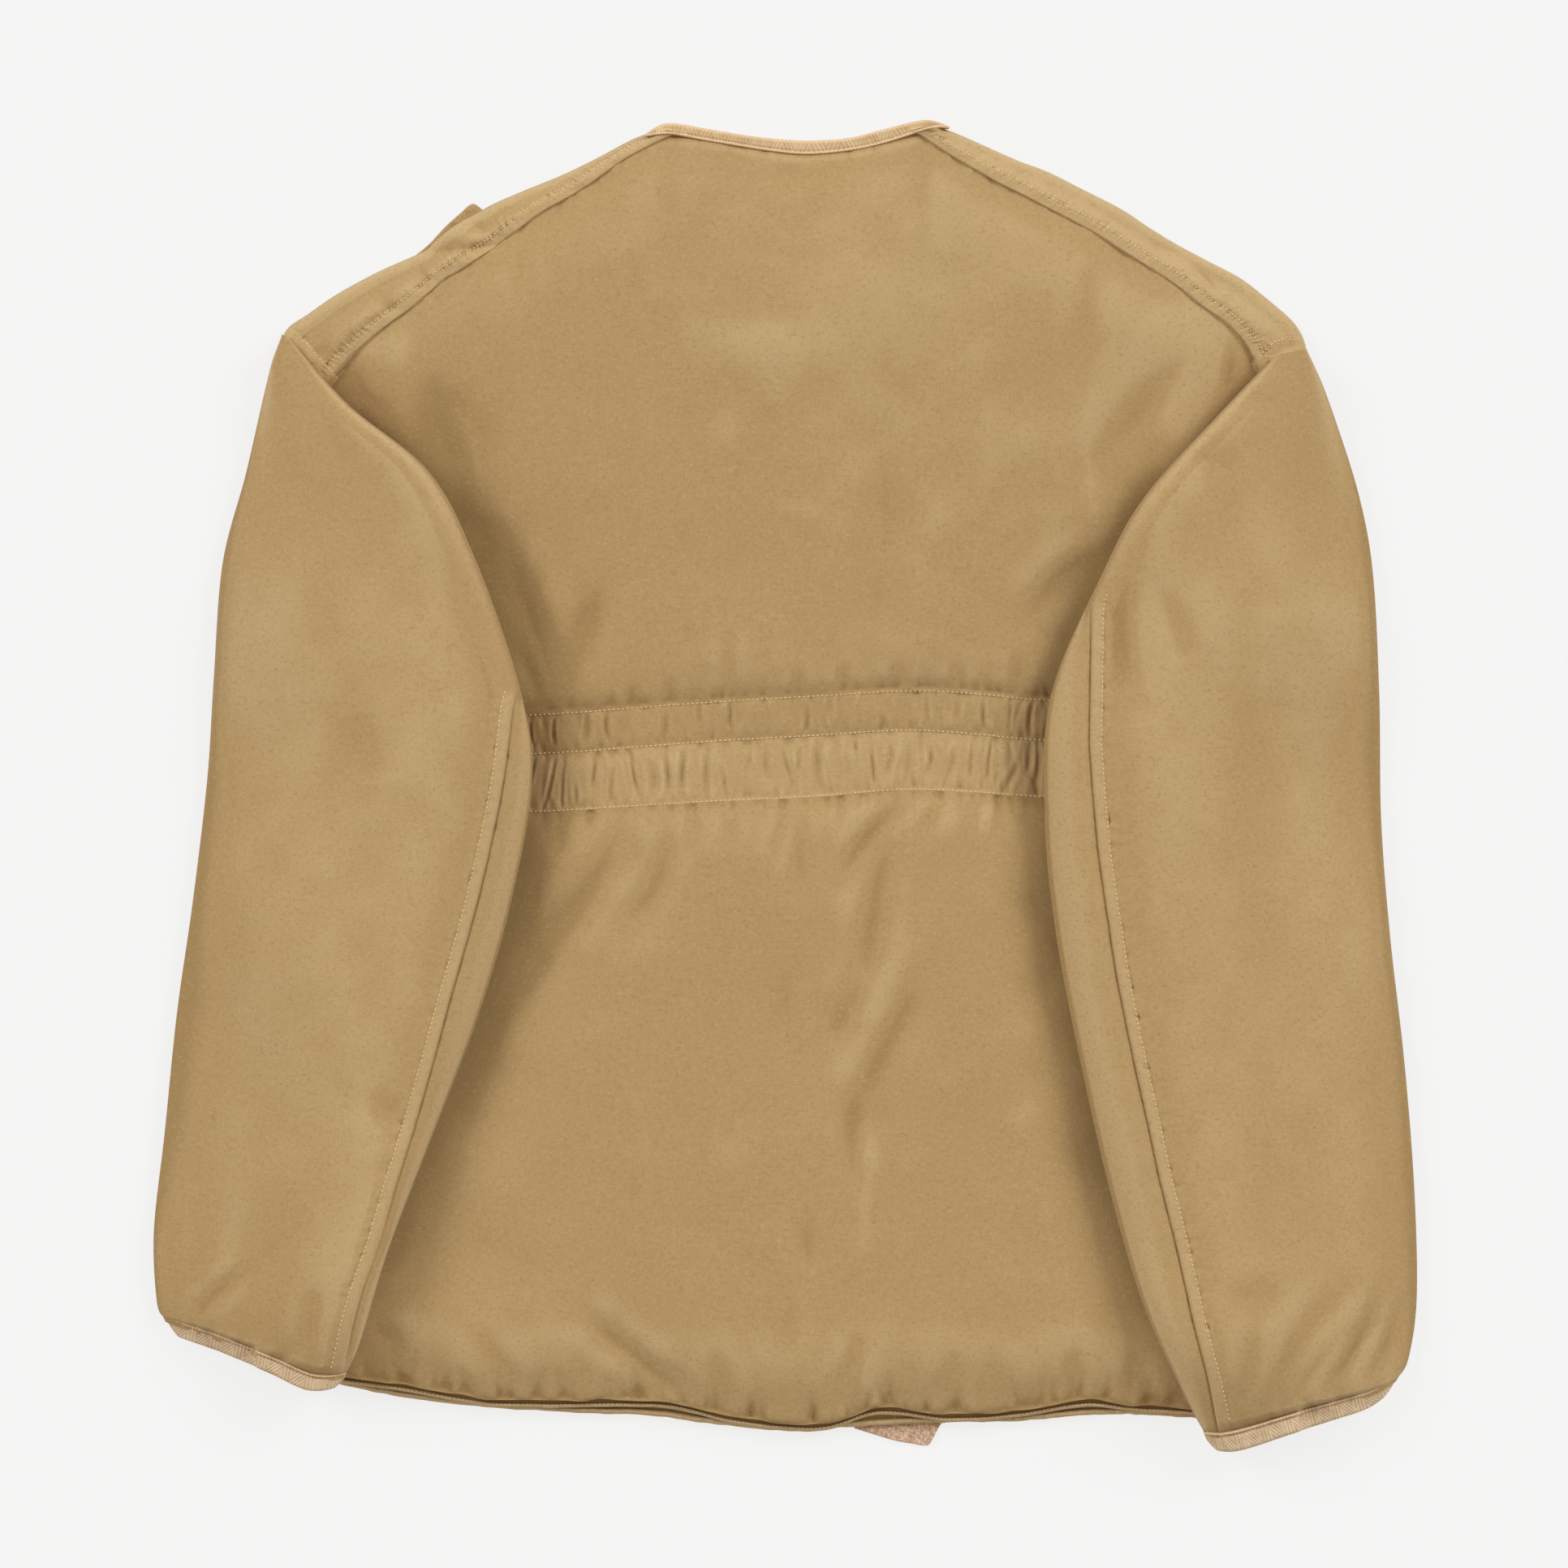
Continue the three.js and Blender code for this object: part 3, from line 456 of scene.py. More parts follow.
LOWER_FOLDS = [
    (-90, -17, -98, -49, -133, -90, 8, 2.8), (-133, -90, -141, -105, -149, -120, 8, 2.0),
    (-65, -22, -63, -53, -88, -79, 6, 2.0), (-29, -19, -29, -26, -30, -33, 4, 1.2),
    (1, -17, -3, -28, -6, -40, 4, 1.2), (9, -17, 9, -40, 9, -63, 5, 1.6),
    (69, -8, 42, -29, 33, -54, 6, 3.2), (85, -12, 81, -20, 78, -28, 5, 1.8),
    (58, -24, 52, -55, 44, -113, 8, 2.8), (44, -110, 35, -127, 26, -143, 9, 2.0),
    (73, -113, 58, -148, 40, -178, 8, 2.6), (40, -174, 35, -208, 42, -224, 6, 2.2),
    (46, -183, 51, -202, 42, -271, 7, -1.0), (12, -88, -13, -142, 17, -160, 14, 1.4),
    (12, -242, 13, -257, 14, -272, 6, 1.4), (3, -290, 2, -304, 1, -318, 6, 1.2),
    (43, -306, 38, -323, 33, -341, 6, 2.0), (162, -315, 161, -325, 160, -336, 5, 1.4),
    (119, -194, 134, -185, 148, -176, 14, -1.2), (-8, -187, 55, -180, 119, -186, 16, 0.8),
    (-117, -293, -65, -334, -57, -343, 7, 3.0), (-230, -301, -220, -309, -209, -318, 6, 1.6),
    (-144, -156, -122, -178, -149, -192, 12, 1.2), (-122, -17, -124, -30, -126, -42, 6, 1.6),
    (-108, -15, -110, -23, -112, -31, 4, 1.0), (-49, -17, -51, -27, -54, -38, 5, 1.2),
    (105, -8, 104, -19, 103, -29, 5, 1.0), (123, -8, 120, -21, 117, -33, 5, 1.2),
    (-172, -306, -160, -322, -149, -338, 7, 1.8), (-40, -315, -35, -332, -31, -349, 6, 1.5),
    (96, -315, 93, -332, 89, -349, 7, 1.5), (196, -315, 195, -329, 194, -344, 6, 1.4),
    (-94, -151, -65, -210, -81, -251, 18, -1.0), (96, -242, 114, -281, 151, -274, 18, -1.0),
    (-58, -242, -24, -253, -17, -292, 14, 0.9), (-185, -233, -162, -267, -122, -274, 16, 0.9),
]


# The inner edges of the sleeves: x, y, how far they press the filling down beside them
LEFT_PRESS = [
    (-290, 262, 0), (-243, 212, 3.5), (-198, 174, 7.5), (-172.5, 126, 9.0), (-156, 80, 9.0),
    (-146, 50, 7.0), (-140.5, 3.5, 5.5), (-152, -64.5, 7.5), (-171, -130.5, 7.0), (-198, -201, 6.0),
    (-220.5, -259.5, 5.0), (-236, -310, 2.5), (-250, -350, 0.5),
]
RIGHT_PRESS = [
    (290, 262, 0), (242, 205.5, 3.0), (201, 160, 5.5), (177.5, 117, 6.0), (160, 80, 6.0),
    (149, 49.5, 5.0), (145.5, -19.5, 5.0), (152, -85, 5.5), (165, -153, 5.5), (181.5, -225.5, 5.0),
    (200.5, -290.5, 3.6), (224, -342, 1.2), (236, -370, 0.5),
]


def pressed(x, y):
    """How far the sleeves press the back down under them and beside them."""
    depth = np.zeros(x.shape)
    for table, side in ((LEFT_PRESS, -1), (RIGHT_PRESS, 1)):
        rows = np.array(table, float)
        off, share = stroke_distance(x, y, rows[:, :2])
        far = np.r_[0, np.cumsum(np.hypot(*np.diff(rows[:, :2], axis=0).T))]
        under = side * (x - np.interp(-y, -rows[:, 1], rows[:, 0])) > 0
        press = np.interp(share, far / far[-1], rows[:, 2])
        depth += press * np.where(under, 1.0, np.exp(-((np.abs(off) / 26) ** 1.4)))
    return depth


FAR = 99                      # a distance past the reach of any pucker
ROW = (-275, 282)             # where the rows of stitches at the waist start and end


def back_relief(x, y):
    """Folds, lumps and puckers of the whole back, in millimetres."""
    rise = folded(x, y, UPPER_FOLDS, 1.0, 0.72) + folded(x, y, LOWER_FOLDS, 1.0, 0.6)
    rise += 0.9 * lumps(x, y, 55, 11) + 0.4 * lumps(x, y, 24, 12) + 0.10 * lumps(x, y, 10, 13)
    for line, seed, above, below in (
        (waist_top, 21, (11, 1.1), (7, 0.7)), (waist_middle, 22, (7, 0.7), (8, 0.8)),
        (waist_bottom, 23, (8, 0.8), (16, 1.0)),
    ):
        off = y - line(x)
        drawn = puckers(x, np.where(off >= 0, off, FAR), 130, ROW, above[1], 1.5, above[0], seed)
        drawn += puckers(x, np.where(off < 0, -off, FAR), 130, ROW, below[1], 1.5, below[0], seed + 10)
        rise += drawn * smoothstep(np.abs(off), 0, 1.8)
        rise -= 0.6 * bell(off, 5.0)
    return rise - pressed(x, y)


def back_wear_and_shade(x, y):
    """Rows of stitches wear pale, and a broad patch high on the back's right is paler. Beside the sleeves, and
    along the left sleeve above and below the waist, the back is darkened with painted shade.
    """
    rows = sum(bell(y - line(x), 1.5) for line in (waist_top, waist_middle, waist_bottom))
    above = stroke_distance(x, y, bent(-206, 205, -168, 130, -134, 52))[0]
    below = stroke_distance(x, y, bent(-130, -20, -138, -62, -172, -150))[0]
    paler_patch = 0.4 * bell(np.hypot(x - 75, y - 265), 115)
    # painted shade: darker where the sleeves press the back, and in two broad strokes beside the left sleeve
    return 0.3 * rows + paler_patch - 0.14 * np.clip(pressed(x, y) - 1.0, 0, 7) \
        - 1.15 * bell(above, 42) - 0.75 * bell(below, 26)


# %% The two filled panels of the back
HEM_EDGE = 4.6                # the panel's height above what it lies on, at its hem


def back_panel(name, node, lower, upper, rows, shown):
    u, v = np.meshgrid(columns(26, shown), eased(rows))
    at_hem, at_neck = lower is back_hem, upper is shoulder_line
    wave = lambda s: at_hem * lumps(s, 0 * s, 11, 43)
    tucked = lambda s: at_neck * 1.8 * (1 - smoothstep(np.abs(s - 6), 74, 80))     # under the neck tape
    x, y = across(u, v, lambda s: lower(s) + GAP + wave(s), lambda s: upper(s) - GAP + tucked(s))
    under = floor_of_back(x, y)
    top = lie(x, y) + back_relief(x, y)
    fade = back_wear_and_shade(x, y)
    if at_hem:
        from_hem = y - lower(x) - wave(x)
        top += puckers(x, from_hem, 130, (-290, 305), 2.3, 2.4, 15, 41)
        top += puckers(x, from_hem, 260, (-290, 305), 1.0, 1.4, 7, 44)
        top = under + HEM_EDGE + (top - under - HEM_EDGE) * rim_round(from_hem, 8)
        # painted shadow: a dark uneven line along the hem edge, where the panel shades the roll
        fade = fade - (0.9 + 0.8 * lumps(x, 0 * x, 13, 45)) * bell(from_hem, 1.8)
    else:
        from_seam = upper(x) + tucked(x) - y
        top += puckers(x, from_seam, 170, (-275, 285), 0.5, 1.7, 9, 42)
        top -= 0.35 * (1 - rim_round(from_seam, 1.2))
        top -= 2.0 * (1 - smoothstep(np.abs(x - 6), 66, 80)) * (1 - smoothstep(from_seam, 0, 5.5))
    return slab(name, x, y, top, np.minimum(under, top - 1), nodes=(node,), fade=fade)


back_upper = back_panel("back_upper_cloth", "back_upper", waist_top, shoulder_line, 114, 264)
back_lower = back_panel("back_lower_cloth", "back_lower", back_hem, waist_bottom, 114, 264)

# %% [markdown]
# The waist channel and the casing are gathered. The long troughs come from a table, where the gathers draw
# the cloth up. Thin creases, and short puckers along the stitches, come from a fixed random seed.

# %% Channel and casing: x0, y0, x1, y1, depth
CASING_TROUGHS = [
    (-128, 16, -135, -14, 3.2), (-123, 16, -125, -14, 2.2), (-117.5, 1, -117, -12, 2.0),
    (-105.5, 17, -107.5, -3, 3.0), (-95.5, 10, -97, -13, 2.6), (-85.5, 17, -80, -10, 3.2),
    (-73.5, 10, -73.5, -10, 2.4), (-67, 18, -65, -8, 2.8), (-55, 20, -57, -9, 3.0),
    (-42.5, 21, -43.5, -9, 3.0), (-35, 10, -32, -8, 2.0), (-10, 20, -10, 2, 2.6),
    (-1.5, 18, 5, -5, 2.6), (9, 22, 7.5, 6, 2.4), (18.5, 22, 20.5, -7, 3.0), (29, 25, 28, 15, 1.8),
    (41, 26, 41, 17, 1.8), (48.5, 20, 50.5, -3, 2.8), (59.5, 23, 56.5, 3, 2.6),
    (70.5, 25, 68.5, -2, 3.0), (72.5, 7, 73, -3, 1.6), (82, 23, 80.5, 4, 2.6),
    (95.5, 19.5, 89.5, -1, 2.6), (105.5, 24.5, 104, 2, 2.2), (116.5, 25, 114, -1, 3.0),
    (126, 24.5, 125, 8, 2.0), (120, 8, 119.5, -2, 1.8), (132, 13, 122.5, -4, 2.6),
    (137.5, 24.5, 135, 4, 2.6), (142, 22, 140, -4, 2.6), (-140, 14, -146, -13, 2.6),
    (150, 22, 148, -4, 2.4), (-152, 12, -156, -14, 2.4), (-172, 10, -174, -12, 2.4),
    (-196, 11, -195, -15, 2.6), (-221, 8, -224, -12, 2.2), (-248, 9, -250, -14, 2.4),
    (168, 20, 169, -3, 2.4), (187, 20, 184, -6, 2.6), (211, 16, 212, -8, 2.2), (239, 15, 238, -9, 2.4),
    (263, 14, 261, -9, 2.0),
]
CHANNEL_TROUGHS = [
    (-128.5, 38, -128.5, 22, 1.8), (-111, 40, -112, 22, 1.8), (-99, 40, -98, 24, 1.8),
    (-66, 41, -67, 24, 1.6), (-47, 45, -47, 33, 1.4), (-30, 47, -29.5, 26, 1.6), (12, 44, 12, 28, 1.6),
    (26, 49, 25, 36, 1.2), (54, 38, 56, 31, 1.2), (-142, 36, -141, 20, 2.0), (-155, 35, -154, 19, 1.6),
    (-176, 34, -177, 18, 1.8), (-201, 34, -200, 16, 1.8), (-231, 33, -233, 16, 1.6),
    (-256, 32, -255, 15, 1.6), (79, 50, 80, 33, 1.3), (97, 49, 96, 34, 1.4), (112, 48, 112, 30, 1.6),
    (127, 48, 126, 29, 1.6), (139, 46, 138, 27, 1.8), (151, 45, 152, 26, 1.8), (171, 44, 170, 27, 1.6),
    (196, 43, 197, 25, 1.8), (226, 42, 225, 23, 1.6), (254, 41, 255, 22, 1.6),
]


TROUGH = 1.6                  # the width of a trough, about


def gathered_strip(name, node, lower, upper, troughs, deeper, wrinkles, count, depth, rows, seed):
    u, v = np.meshgrid(columns(50, 520), eased(rows, 0.3))
    x, y = across(u, v, lambda s: lower(s) + GAP, lambda s: upper(s) - GAP)
    under = floor_of_back(x, y)
    top = lie(x, y) + back_relief(x, y)
    from_low, from_high = y - lower(x), upper(x) - y
    inside = smoothstep(np.minimum(from_low, from_high), 0, 2.6)
    gathers = np.zeros(x.shape)
    for x0, y0, x1, y1, deep in troughs:
        middle = ((x0 + x1) / 2 + 2.2 * math.sin(7 * x0), (y0 + y1) / 2)
        wide = TROUGH * (1 + 0.35 * math.sin(5 * x0 + y0))
        gathers += folded(x, y, [(x0, y0, *middle, x1, y1, wide, deeper * deep)])
    chance = np.random.default_rng(seed + 9)
    for _ in range(wrinkles):               # thin creases that cross each other at small angles
        x0, y0 = chance.uniform(-150, 162), chance.uniform(0, 1)
        x1, y1 = x0 + chance.normal(0, 3.0), y0 + chance.choice((-1, 1)) * chance.uniform(0.4, 1.0)
        y0, y1 = (between(lower(x0), upper(x0), float(np.clip(share, 0, 1))) for share in (y0, y1))
        gathers += folded(x, y, [(x0, y0, (x0 + x1) / 2 + chance.normal(0, 1.5), (y0 + y1) / 2, x1, y1,
                                  chance.uniform(0.9, 1.6), chance.uniform(0.15, 0.5))])
    gathers += puckers(x, from_low, count, ROW, depth, 1.2, 10, seed)
    gathers += puckers(x, from_high, count, ROW, depth, 1.2, 10, seed + 1)
    slanting = 0.25 * lumps(x * 2, y * 0.6 + 0.4 * x, 7, seed + 3)
    gathers += 0.3 * lumps(x * 1.6, y * 0.7, 14, seed + 2) + slanting
    top += gathers * (0.1 + 0.9 * inside)
    top += 0.5 * inside
    return slab(name, x, y, top, np.minimum(under, top - 1), (node,), fade=back_wear_and_shade(x, y))


channel = gathered_strip("waist_channel_cloth", "waist_channel", waist_middle, waist_top, CHANNEL_TROUGHS,
                         0.75, 60, 190, 0.55, 18, 51)
casing = gathered_strip("waist_casing_cloth", "waist_casing", waist_bottom, waist_middle, CASING_TROUGHS,
                        0.5, 130, 280, 0.65, 22, 61)

# %% [markdown]
# A sleeve is a tube that lies folded flat. Its upper side takes the lie of the solid, and a long felled seam
# runs down it beside the inner edge, so the columns of the grid stand close together along that seam. At the
# cuff the rings turn in and go back up inside, because the sleeve is open there.

# %% Sleeves
LEFT_SEAM = [
    (-147.5, 60), (-151.3, 42.9), (-154.9, 12.5), (-158.6, -10.2), (-165.4, -42), (-170.8, -64.7),
    (-177.6, -89.6), (-186.7, -121.4), (-195.8, -155.4), (-206.2, -191.7), (-216.2, -223.5),
    (-225.3, -255.2), (-234.3, -280), (-240.2, -300), (-246.5, -328),
]
RIGHT_SEAM = [
    (176.3, 114.6), (171.7, 98.7), (171.3, 73.3), (170.8, 44.2), (170.4, 22.5), (172.2, -2.9),
    (175.4, -38.3), (178.5, -60.1), (185.3, -105.5), (194.4, -150.9), (203.5, -191.7), (210.3, -223.5),
    (219.4, -259.7), (228.4, -300.6), (237.5, -334.6), (243.5, -361),
]
# How far the cuff sags below the line between its ends: share of the width from the inner edge, mm
LEFT_SAG = [
    (0, 0), (0.10, -3.8), (0.196, -5.5), (0.35, -4.0), (0.523, -2.1), (0.678, -0.7), (0.819, -0.2),
    (1, 0),
]
RIGHT_SAG = [
    (0, 0), (0.097, -2.8), (0.255, -3.5), (0.419, -3.1), (0.58, -3.1), (0.739, -3.3), (0.898, -3.0),
    (1, 0),
]
LEFT_FOLDS = [
    (-240, 40, -236, 20, -232, 0, 16, 1.6), (-212, -176, -221, -183, -230, -189, 12, 1.8),
    (-262, 214, -252, 190, -240, 172, 9, 1.2), (-300, -284, -284, -250, -262, -236, 14, 1.2),
    (-332, -286, -326, -262, -326, -230, 10, 1.0), (-268, -318, -262, -300, -262, -280, 6, 1.2),
    (-330, -300, -318, -282, -300, -272, 5, 1.6), (-345, -286, -342, -262, -346, -240, 6, 1.2),
]
RIGHT_FOLDS = [
    (192, 117, 186, 90, 190, 49, 12, 2.4), (210, 110, 219, 90, 224, 69, 10, 1.8),
    (225, 185, 240, 180, 254, 174, 10, 1.6), (266, -352, 282, -312, 312, -282, 9, 1.8),
    (300, -340, 320, -310, 338, -296, 7, 1.8), (246, -282, 262, -288, 280, -286, 10, 1.2),
    (322, -334, 334, -322, 344, -306, 6, 1.4), (300, 196, 292, 160, 300, 120, 16, 1.4),
    (262, 60, 258, 10, 262, -60, 24, 1.2), (240, 226, 256, 214, 276, 212, 7, 1.0),
    (284, -343, 300, -318, 322, -296, 5, 1.5), (306, -335, 322, -312, 333, -280, 5, 1.6),
    (326, -330, 340, -308, 346, -284, 4, 1.3), (250, -350, 262, -326, 264, -300, 6, 1.2),
]


FULLER = 1.8                  # the filling rounds the outer edge out a little past its crease


def sleeve_rows(table, seam, along):
    """For each ring of a sleeve: its two edges, its width, and where the seam crosses it from the inner edge."""
    share = np.linspace(0, 1, along)
    outer_x, outer_y, inner_x, inner_y = row_at(table, share)
    width = np.hypot(outer_x - inner_x, outer_y - inner_y)
    fuller = FULLER * smoothstep(share, 0, 0.06) / width
    outer_x, outer_y = outer_x + (outer_x - inner_x) * fuller, outer_y + (outer_y - inner_y) * fuller
    width = width * (1 + fuller)
    seam = np.array(seam)[::-1]
    cross = np.zeros(along)
    for k in range(along):
        t = np.linspace(0, 0.6, 400)
        x, y = between(inner_x[k], outer_x[k], t), between(inner_y[k], outer_y[k], t)
        off = np.abs(x - np.interp(y, seam[:, 1], seam[:, 0]))
        nearest = off.argmin()
        cross[k] = t[nearest] * width[k] if seam[0, 1] - 9 <= y[nearest] <= seam[-1, 1] else 0
    return outer_x, outer_y, inner_x, inner_y, width, blurred(cross[None, :], 0, 1.2)[0]


def sleeve_columns(width, cross):
    """Shares of each ring's width, close together along the strip beside the seam."""
    before, after = np.linspace(0, 1, 16) ** 0.8, np.linspace(0, 1, 44)
    after = 0.75 * after + 0.25 * np.sin(np.pi / 2 * after)
    strip = np.arange(-3, 12, 0.65)
    reach = np.empty((len(width), len(before) + len(strip) + len(after)))
    for k, wide in enumerate(width):
        start = max(cross[k], 4.0)
        stop = min(start + strip[-1] + 0.65, wide * 0.6)
        dense = start + strip * (stop - start) / (strip[-1] + 0.65)
        dense -= min(0, dense[0] - 0.8)
        outer = dense[-1] + 0.6 + (wide - dense[-1] - 0.6) * after
        reach[k] = np.concatenate([before * (dense[0] - 0.4), dense, outer]) / wide
    return reach


def sleeve_mesh(name, node, x, y, high, low, edge, middle_x, middle_y, width, relief, under):
    """The tube: a fine upper side, a plain underside, and rings that go back up inside the cuff."""
    along, over = x.shape
    bm = bmesh.new()
    wear_and_shade, row, side = (bm.verts.layers.float.new("wear_and_shade"), bm.verts.layers.int.new("column"),
                       bm.verts.layers.int.new("side"))
    bmesh.ops.create_grid(bm, x_segments=over - 1, y_segments=along - 1, size=1)
    upper = bm.verts[:]
    place = lambda r, c, z: (*metres(x[r, c], y[r, c]), z * MM)
    for i, vert in enumerate(upper):
        r, c = divmod(i, over)
        vert.co = place(r, c, high[r, c])
        vert[wear_and_shade], vert[row], vert[side] = relief[i], c, 1
    pick = np.unique(np.linspace(0, over - 1, under).astype(int))
    lower = []
    for r in range(along):
        line = [upper[r * over]]
        for c in pick[1:-1]:
            vert = bm.verts.new(place(r, c, low[r, c]))
            vert[row], vert[side] = int(c), -1
            line.append(vert)
        lower.append(line + [upper[r * over + over - 1]])
    for here, following in zip(lower[:-1], lower[1:]):
        for k in range(len(pick) - 1):
            bm.faces.new((here[k], following[k], following[k + 1], here[k + 1]))
    top_ring = set(upper[:over]) | set(lower[0])
    bmesh.ops.holes_fill(bm, edges=[e for e in bm.edges if e.is_boundary and set(e.verts) <= top_ring], sides=0)
    for back in (0, 2, 15, 38):             # rings up inside, counted from the cuff
        rim = [e for e in bm.edges if e.is_boundary]
        made = bmesh.ops.extrude_edge_only(bm, edges=rim)["geom"]
        r = along - 1 - back
        for vert in (item for item in made if isinstance(item, bmesh.types.BMVert)):
            c = vert[row]
            inward = 1 - min(1, 4 / width[r])
            half = (high[r, c] - low[r, c]) / 2
            level = (high[r, c] + low[r, c]) / 2 + vert[side] * max(half - 4.5, 0.2) * min(1, edge[r, c] / 8)
            vert.co = (*metres(middle_x[r] + (x[r, c] - middle_x[r]) * inward,
                               middle_y[r] + (y[r, c] - middle_y[r]) * inward), level * MM)
            vert[wear_and_shade] = 0
    bmesh.ops.holes_fill(bm, edges=[e for e in bm.edges if e.is_boundary], sides=0)
    bmesh.ops.recalc_face_normals(bm, faces=bm.faces)
    return cloth_object(name, bm, nodes=(node,))


def sleeve_cloth(name, node, table, seam, folds, sag, along, seed):
    outer_x, outer_y, inner_x, inner_y, width, cross = sleeve_rows(table, seam, along)
    reach = sleeve_columns(width, cross)
    at = lambda share: (between(inner_x[:, None], outer_x[:, None], share),
                        between(inner_y[:, None], outer_y[:, None], share))
    x, y = at(reach)
    wide = width[:, None]
    near = np.clip(reach, np.minimum(2.5 / wide, 0.4), 1 - np.minimum(2.5 / wide, 0.4))
    soft = field((node,), (x.min() - 6, y.min() - 6), (x.max() + 6, y.max() + 6), 4, 9)
    low = heights(node, *at(near), from_above=False)
    level = [blurred(soft(*at(share + 0 * reach[:, :1])), 10, 0) for share in (0.22, 0.5, 0.78)]
    lean = (reach - 0.22) / 0.56
    high = level[0] + (level[2] - level[0]) * lean
    high += 0.5 * (level[1] - (level[0] + level[2]) / 2) * (1 - (2 * lean - 1) ** 2)
    edge_high = heights(node, *at(near[:, [0, -1]]))
    middle = (edge_high + low[:, [0, -1]]) / 2
    middle = np.where(reach < 0.5, middle[:, :1], middle[:, 1:])
    middle, low = blurred(middle, 8, 0), blurred(low, 4, 0)
    edge = np.minimum(reach, 1 - reach) * wide
    calm = smoothstep(edge, 0, 14)
    down = np.cumsum(np.r_[0, np.hypot(np.diff(inner_x), np.diff(inner_y))])[:, None] + 0 * x
    from_cuff = down[-1] - down
    y = y + through(sag)(reach) * (1 - smoothstep(from_cuff, 0, 45))
    high += (folded(x, y, folds, 1.05, 0.95) + 0.5 * lumps(x, y, 60, seed) + 0.22 * lumps(x, y, 25, seed + 1)
             + 0.10 * lumps(x, y, 10, seed + 2)) * calm
    off = reach * wide - cross[:, None]
    there = smoothstep(cross, 1.0, 5.0)[:, None]
    strip_there = there * smoothstep(off, -0.4, 0.6) * (1 - smoothstep(off, 5.8, 6.8))
    high += 0.8 * there * smoothstep(off, -0.4, 0.6) * (1 - smoothstep(off, 4.5, 13))
    high -= there * bell(off + 0.5, 0.75)
    arm = (0, 600)
    high += there * puckers(down, np.where(off >= 0, 7.0 - off, FAR), 230, arm, 0.35, 1.3, 6, seed + 3)
    high += there * puckers(down, np.where(off >= 7, off - 7, FAR), 150, arm, 0.4, 1.5, 8, seed + 4)
    high += there * puckers(down, np.where(off <= 0, -off, FAR), 120, arm, 0.3, 1.6, 5, seed + 5)
    # small tucks where the cloth is drawn into the cuff tape
    high += puckers(reach * wide, from_cuff, 34, (6, float(width[-1]) - 6), 0.9, 2.6, 14, seed + 6)
    lean = 2 * reach - 1
    arch = np.sqrt(np.clip(1 - np.where(lean < 0, np.abs(lean) ** 9, np.abs(lean) ** 5), 0, 1))
    high = middle + np.maximum(high - middle, 1) * arch * (0.7 + 0.3 * smoothstep(from_cuff, 0, 7))
    low = middle - np.maximum(middle - low, 0.3) * rim_round(edge, 9)
    # the last ring is tucked 3 mm into the cuff tape
    tuck = np.array([x[-1] - x[-4], y[-1] - y[-4]])
    tuck *= 3 / np.maximum(np.hypot(*tuck), 1e-6)
    x[-1], y[-1] = x[-1] + tuck[0], y[-1] + tuck[1]
    low = middle + (low - middle) * (0.7 + 0.3 * smoothstep(from_cuff, 0, 7))
    low[:, [0, -1]] = high[:, [0, -1]]
    end = reach[-1], high[-1].copy(), low[-1].copy()
    # the seam strip is drawn paler; the dark line just above the cuff tape is painted shade
    relief = (high - blurred(high, 4, 4) + 0.8 * strip_there - 1.4 * bell(from_cuff - 0.8, 1.0)).ravel()
    piece = sleeve_mesh(name, node, x, y, high, low, edge, (inner_x + outer_x) / 2, (inner_y + outer_y) / 2,
                        width, relief, 22)
    return piece, cross, end


sleeve_left, left_cross, left_end = sleeve_cloth(
    "sleeve_left_cloth", "sleeve_left", LEFT_SLEEVE, LEFT_SEAM, LEFT_FOLDS, LEFT_SAG, 500, 71)
sleeve_right, right_cross, right_end = sleeve_cloth(
    "sleeve_right_cloth", "sleeve_right", RIGHT_SLEEVE, RIGHT_SEAM, RIGHT_FOLDS, RIGHT_SAG, 520, 81)

# %% [markdown]
# The front's cloth turns over each shoulder to a felled seam on the back. The seam's raised strip is puckered
# by its stitches, and the rest of the turned cloth is soft.

# %% Shoulders
SHOULDER_FOLDS = [
    (-200, 298, -178, 300, -147, 302.5, 4, 2.6), (-178, 316, -168, 309, -157, 306, 4, 1.6),
    (206, 301, 219, 300, 229, 291, 5, 1.6), (229, 291, 239, 283, 243, 272, 5, 2.2),
    (180, 318, 196, 309, 210, 297, 6, 1.2), (-130, 333, -120, 331, -108, 334, 5, 1.0),
    (-100, 348, -92, 344, -86, 349, 4, 0.8), (140, 341, 134, 337, 130, 333, 5, 1.0),
    (-228, 274, -222, 269, -220, 262, 7, 1.6), (-205, 288, -199, 283, -196, 276, 6, 1.0),
    (112, 355, 108, 350, 103, 348, 5, 0.9),
]


# Each turned shoulder runs on for a little under the sleeve: seam x, seam y, fold x, fold y
LEFT_TUCKED = [(-58, 365, -71, 367)] + LEFT_SHOULDER + [(-264, 215.5, -279, 236)]
RIGHT_TUCKED = [(70, 366, 85, 369)] + RIGHT_SHOULDER + [(272, 222.5, 291, 231)]
UNDERLAP = 3.0                # the turned cloth runs on under the back
LEFT_ARMHOLE = [(-281, 251.5), (-276, 249), (-243.5, 212)]
RIGHT_ARMHOLE = [(254, 220), (265.4, 232.2), (276.7, 242.3), (284.2, 244.8), (294, 243.5)]


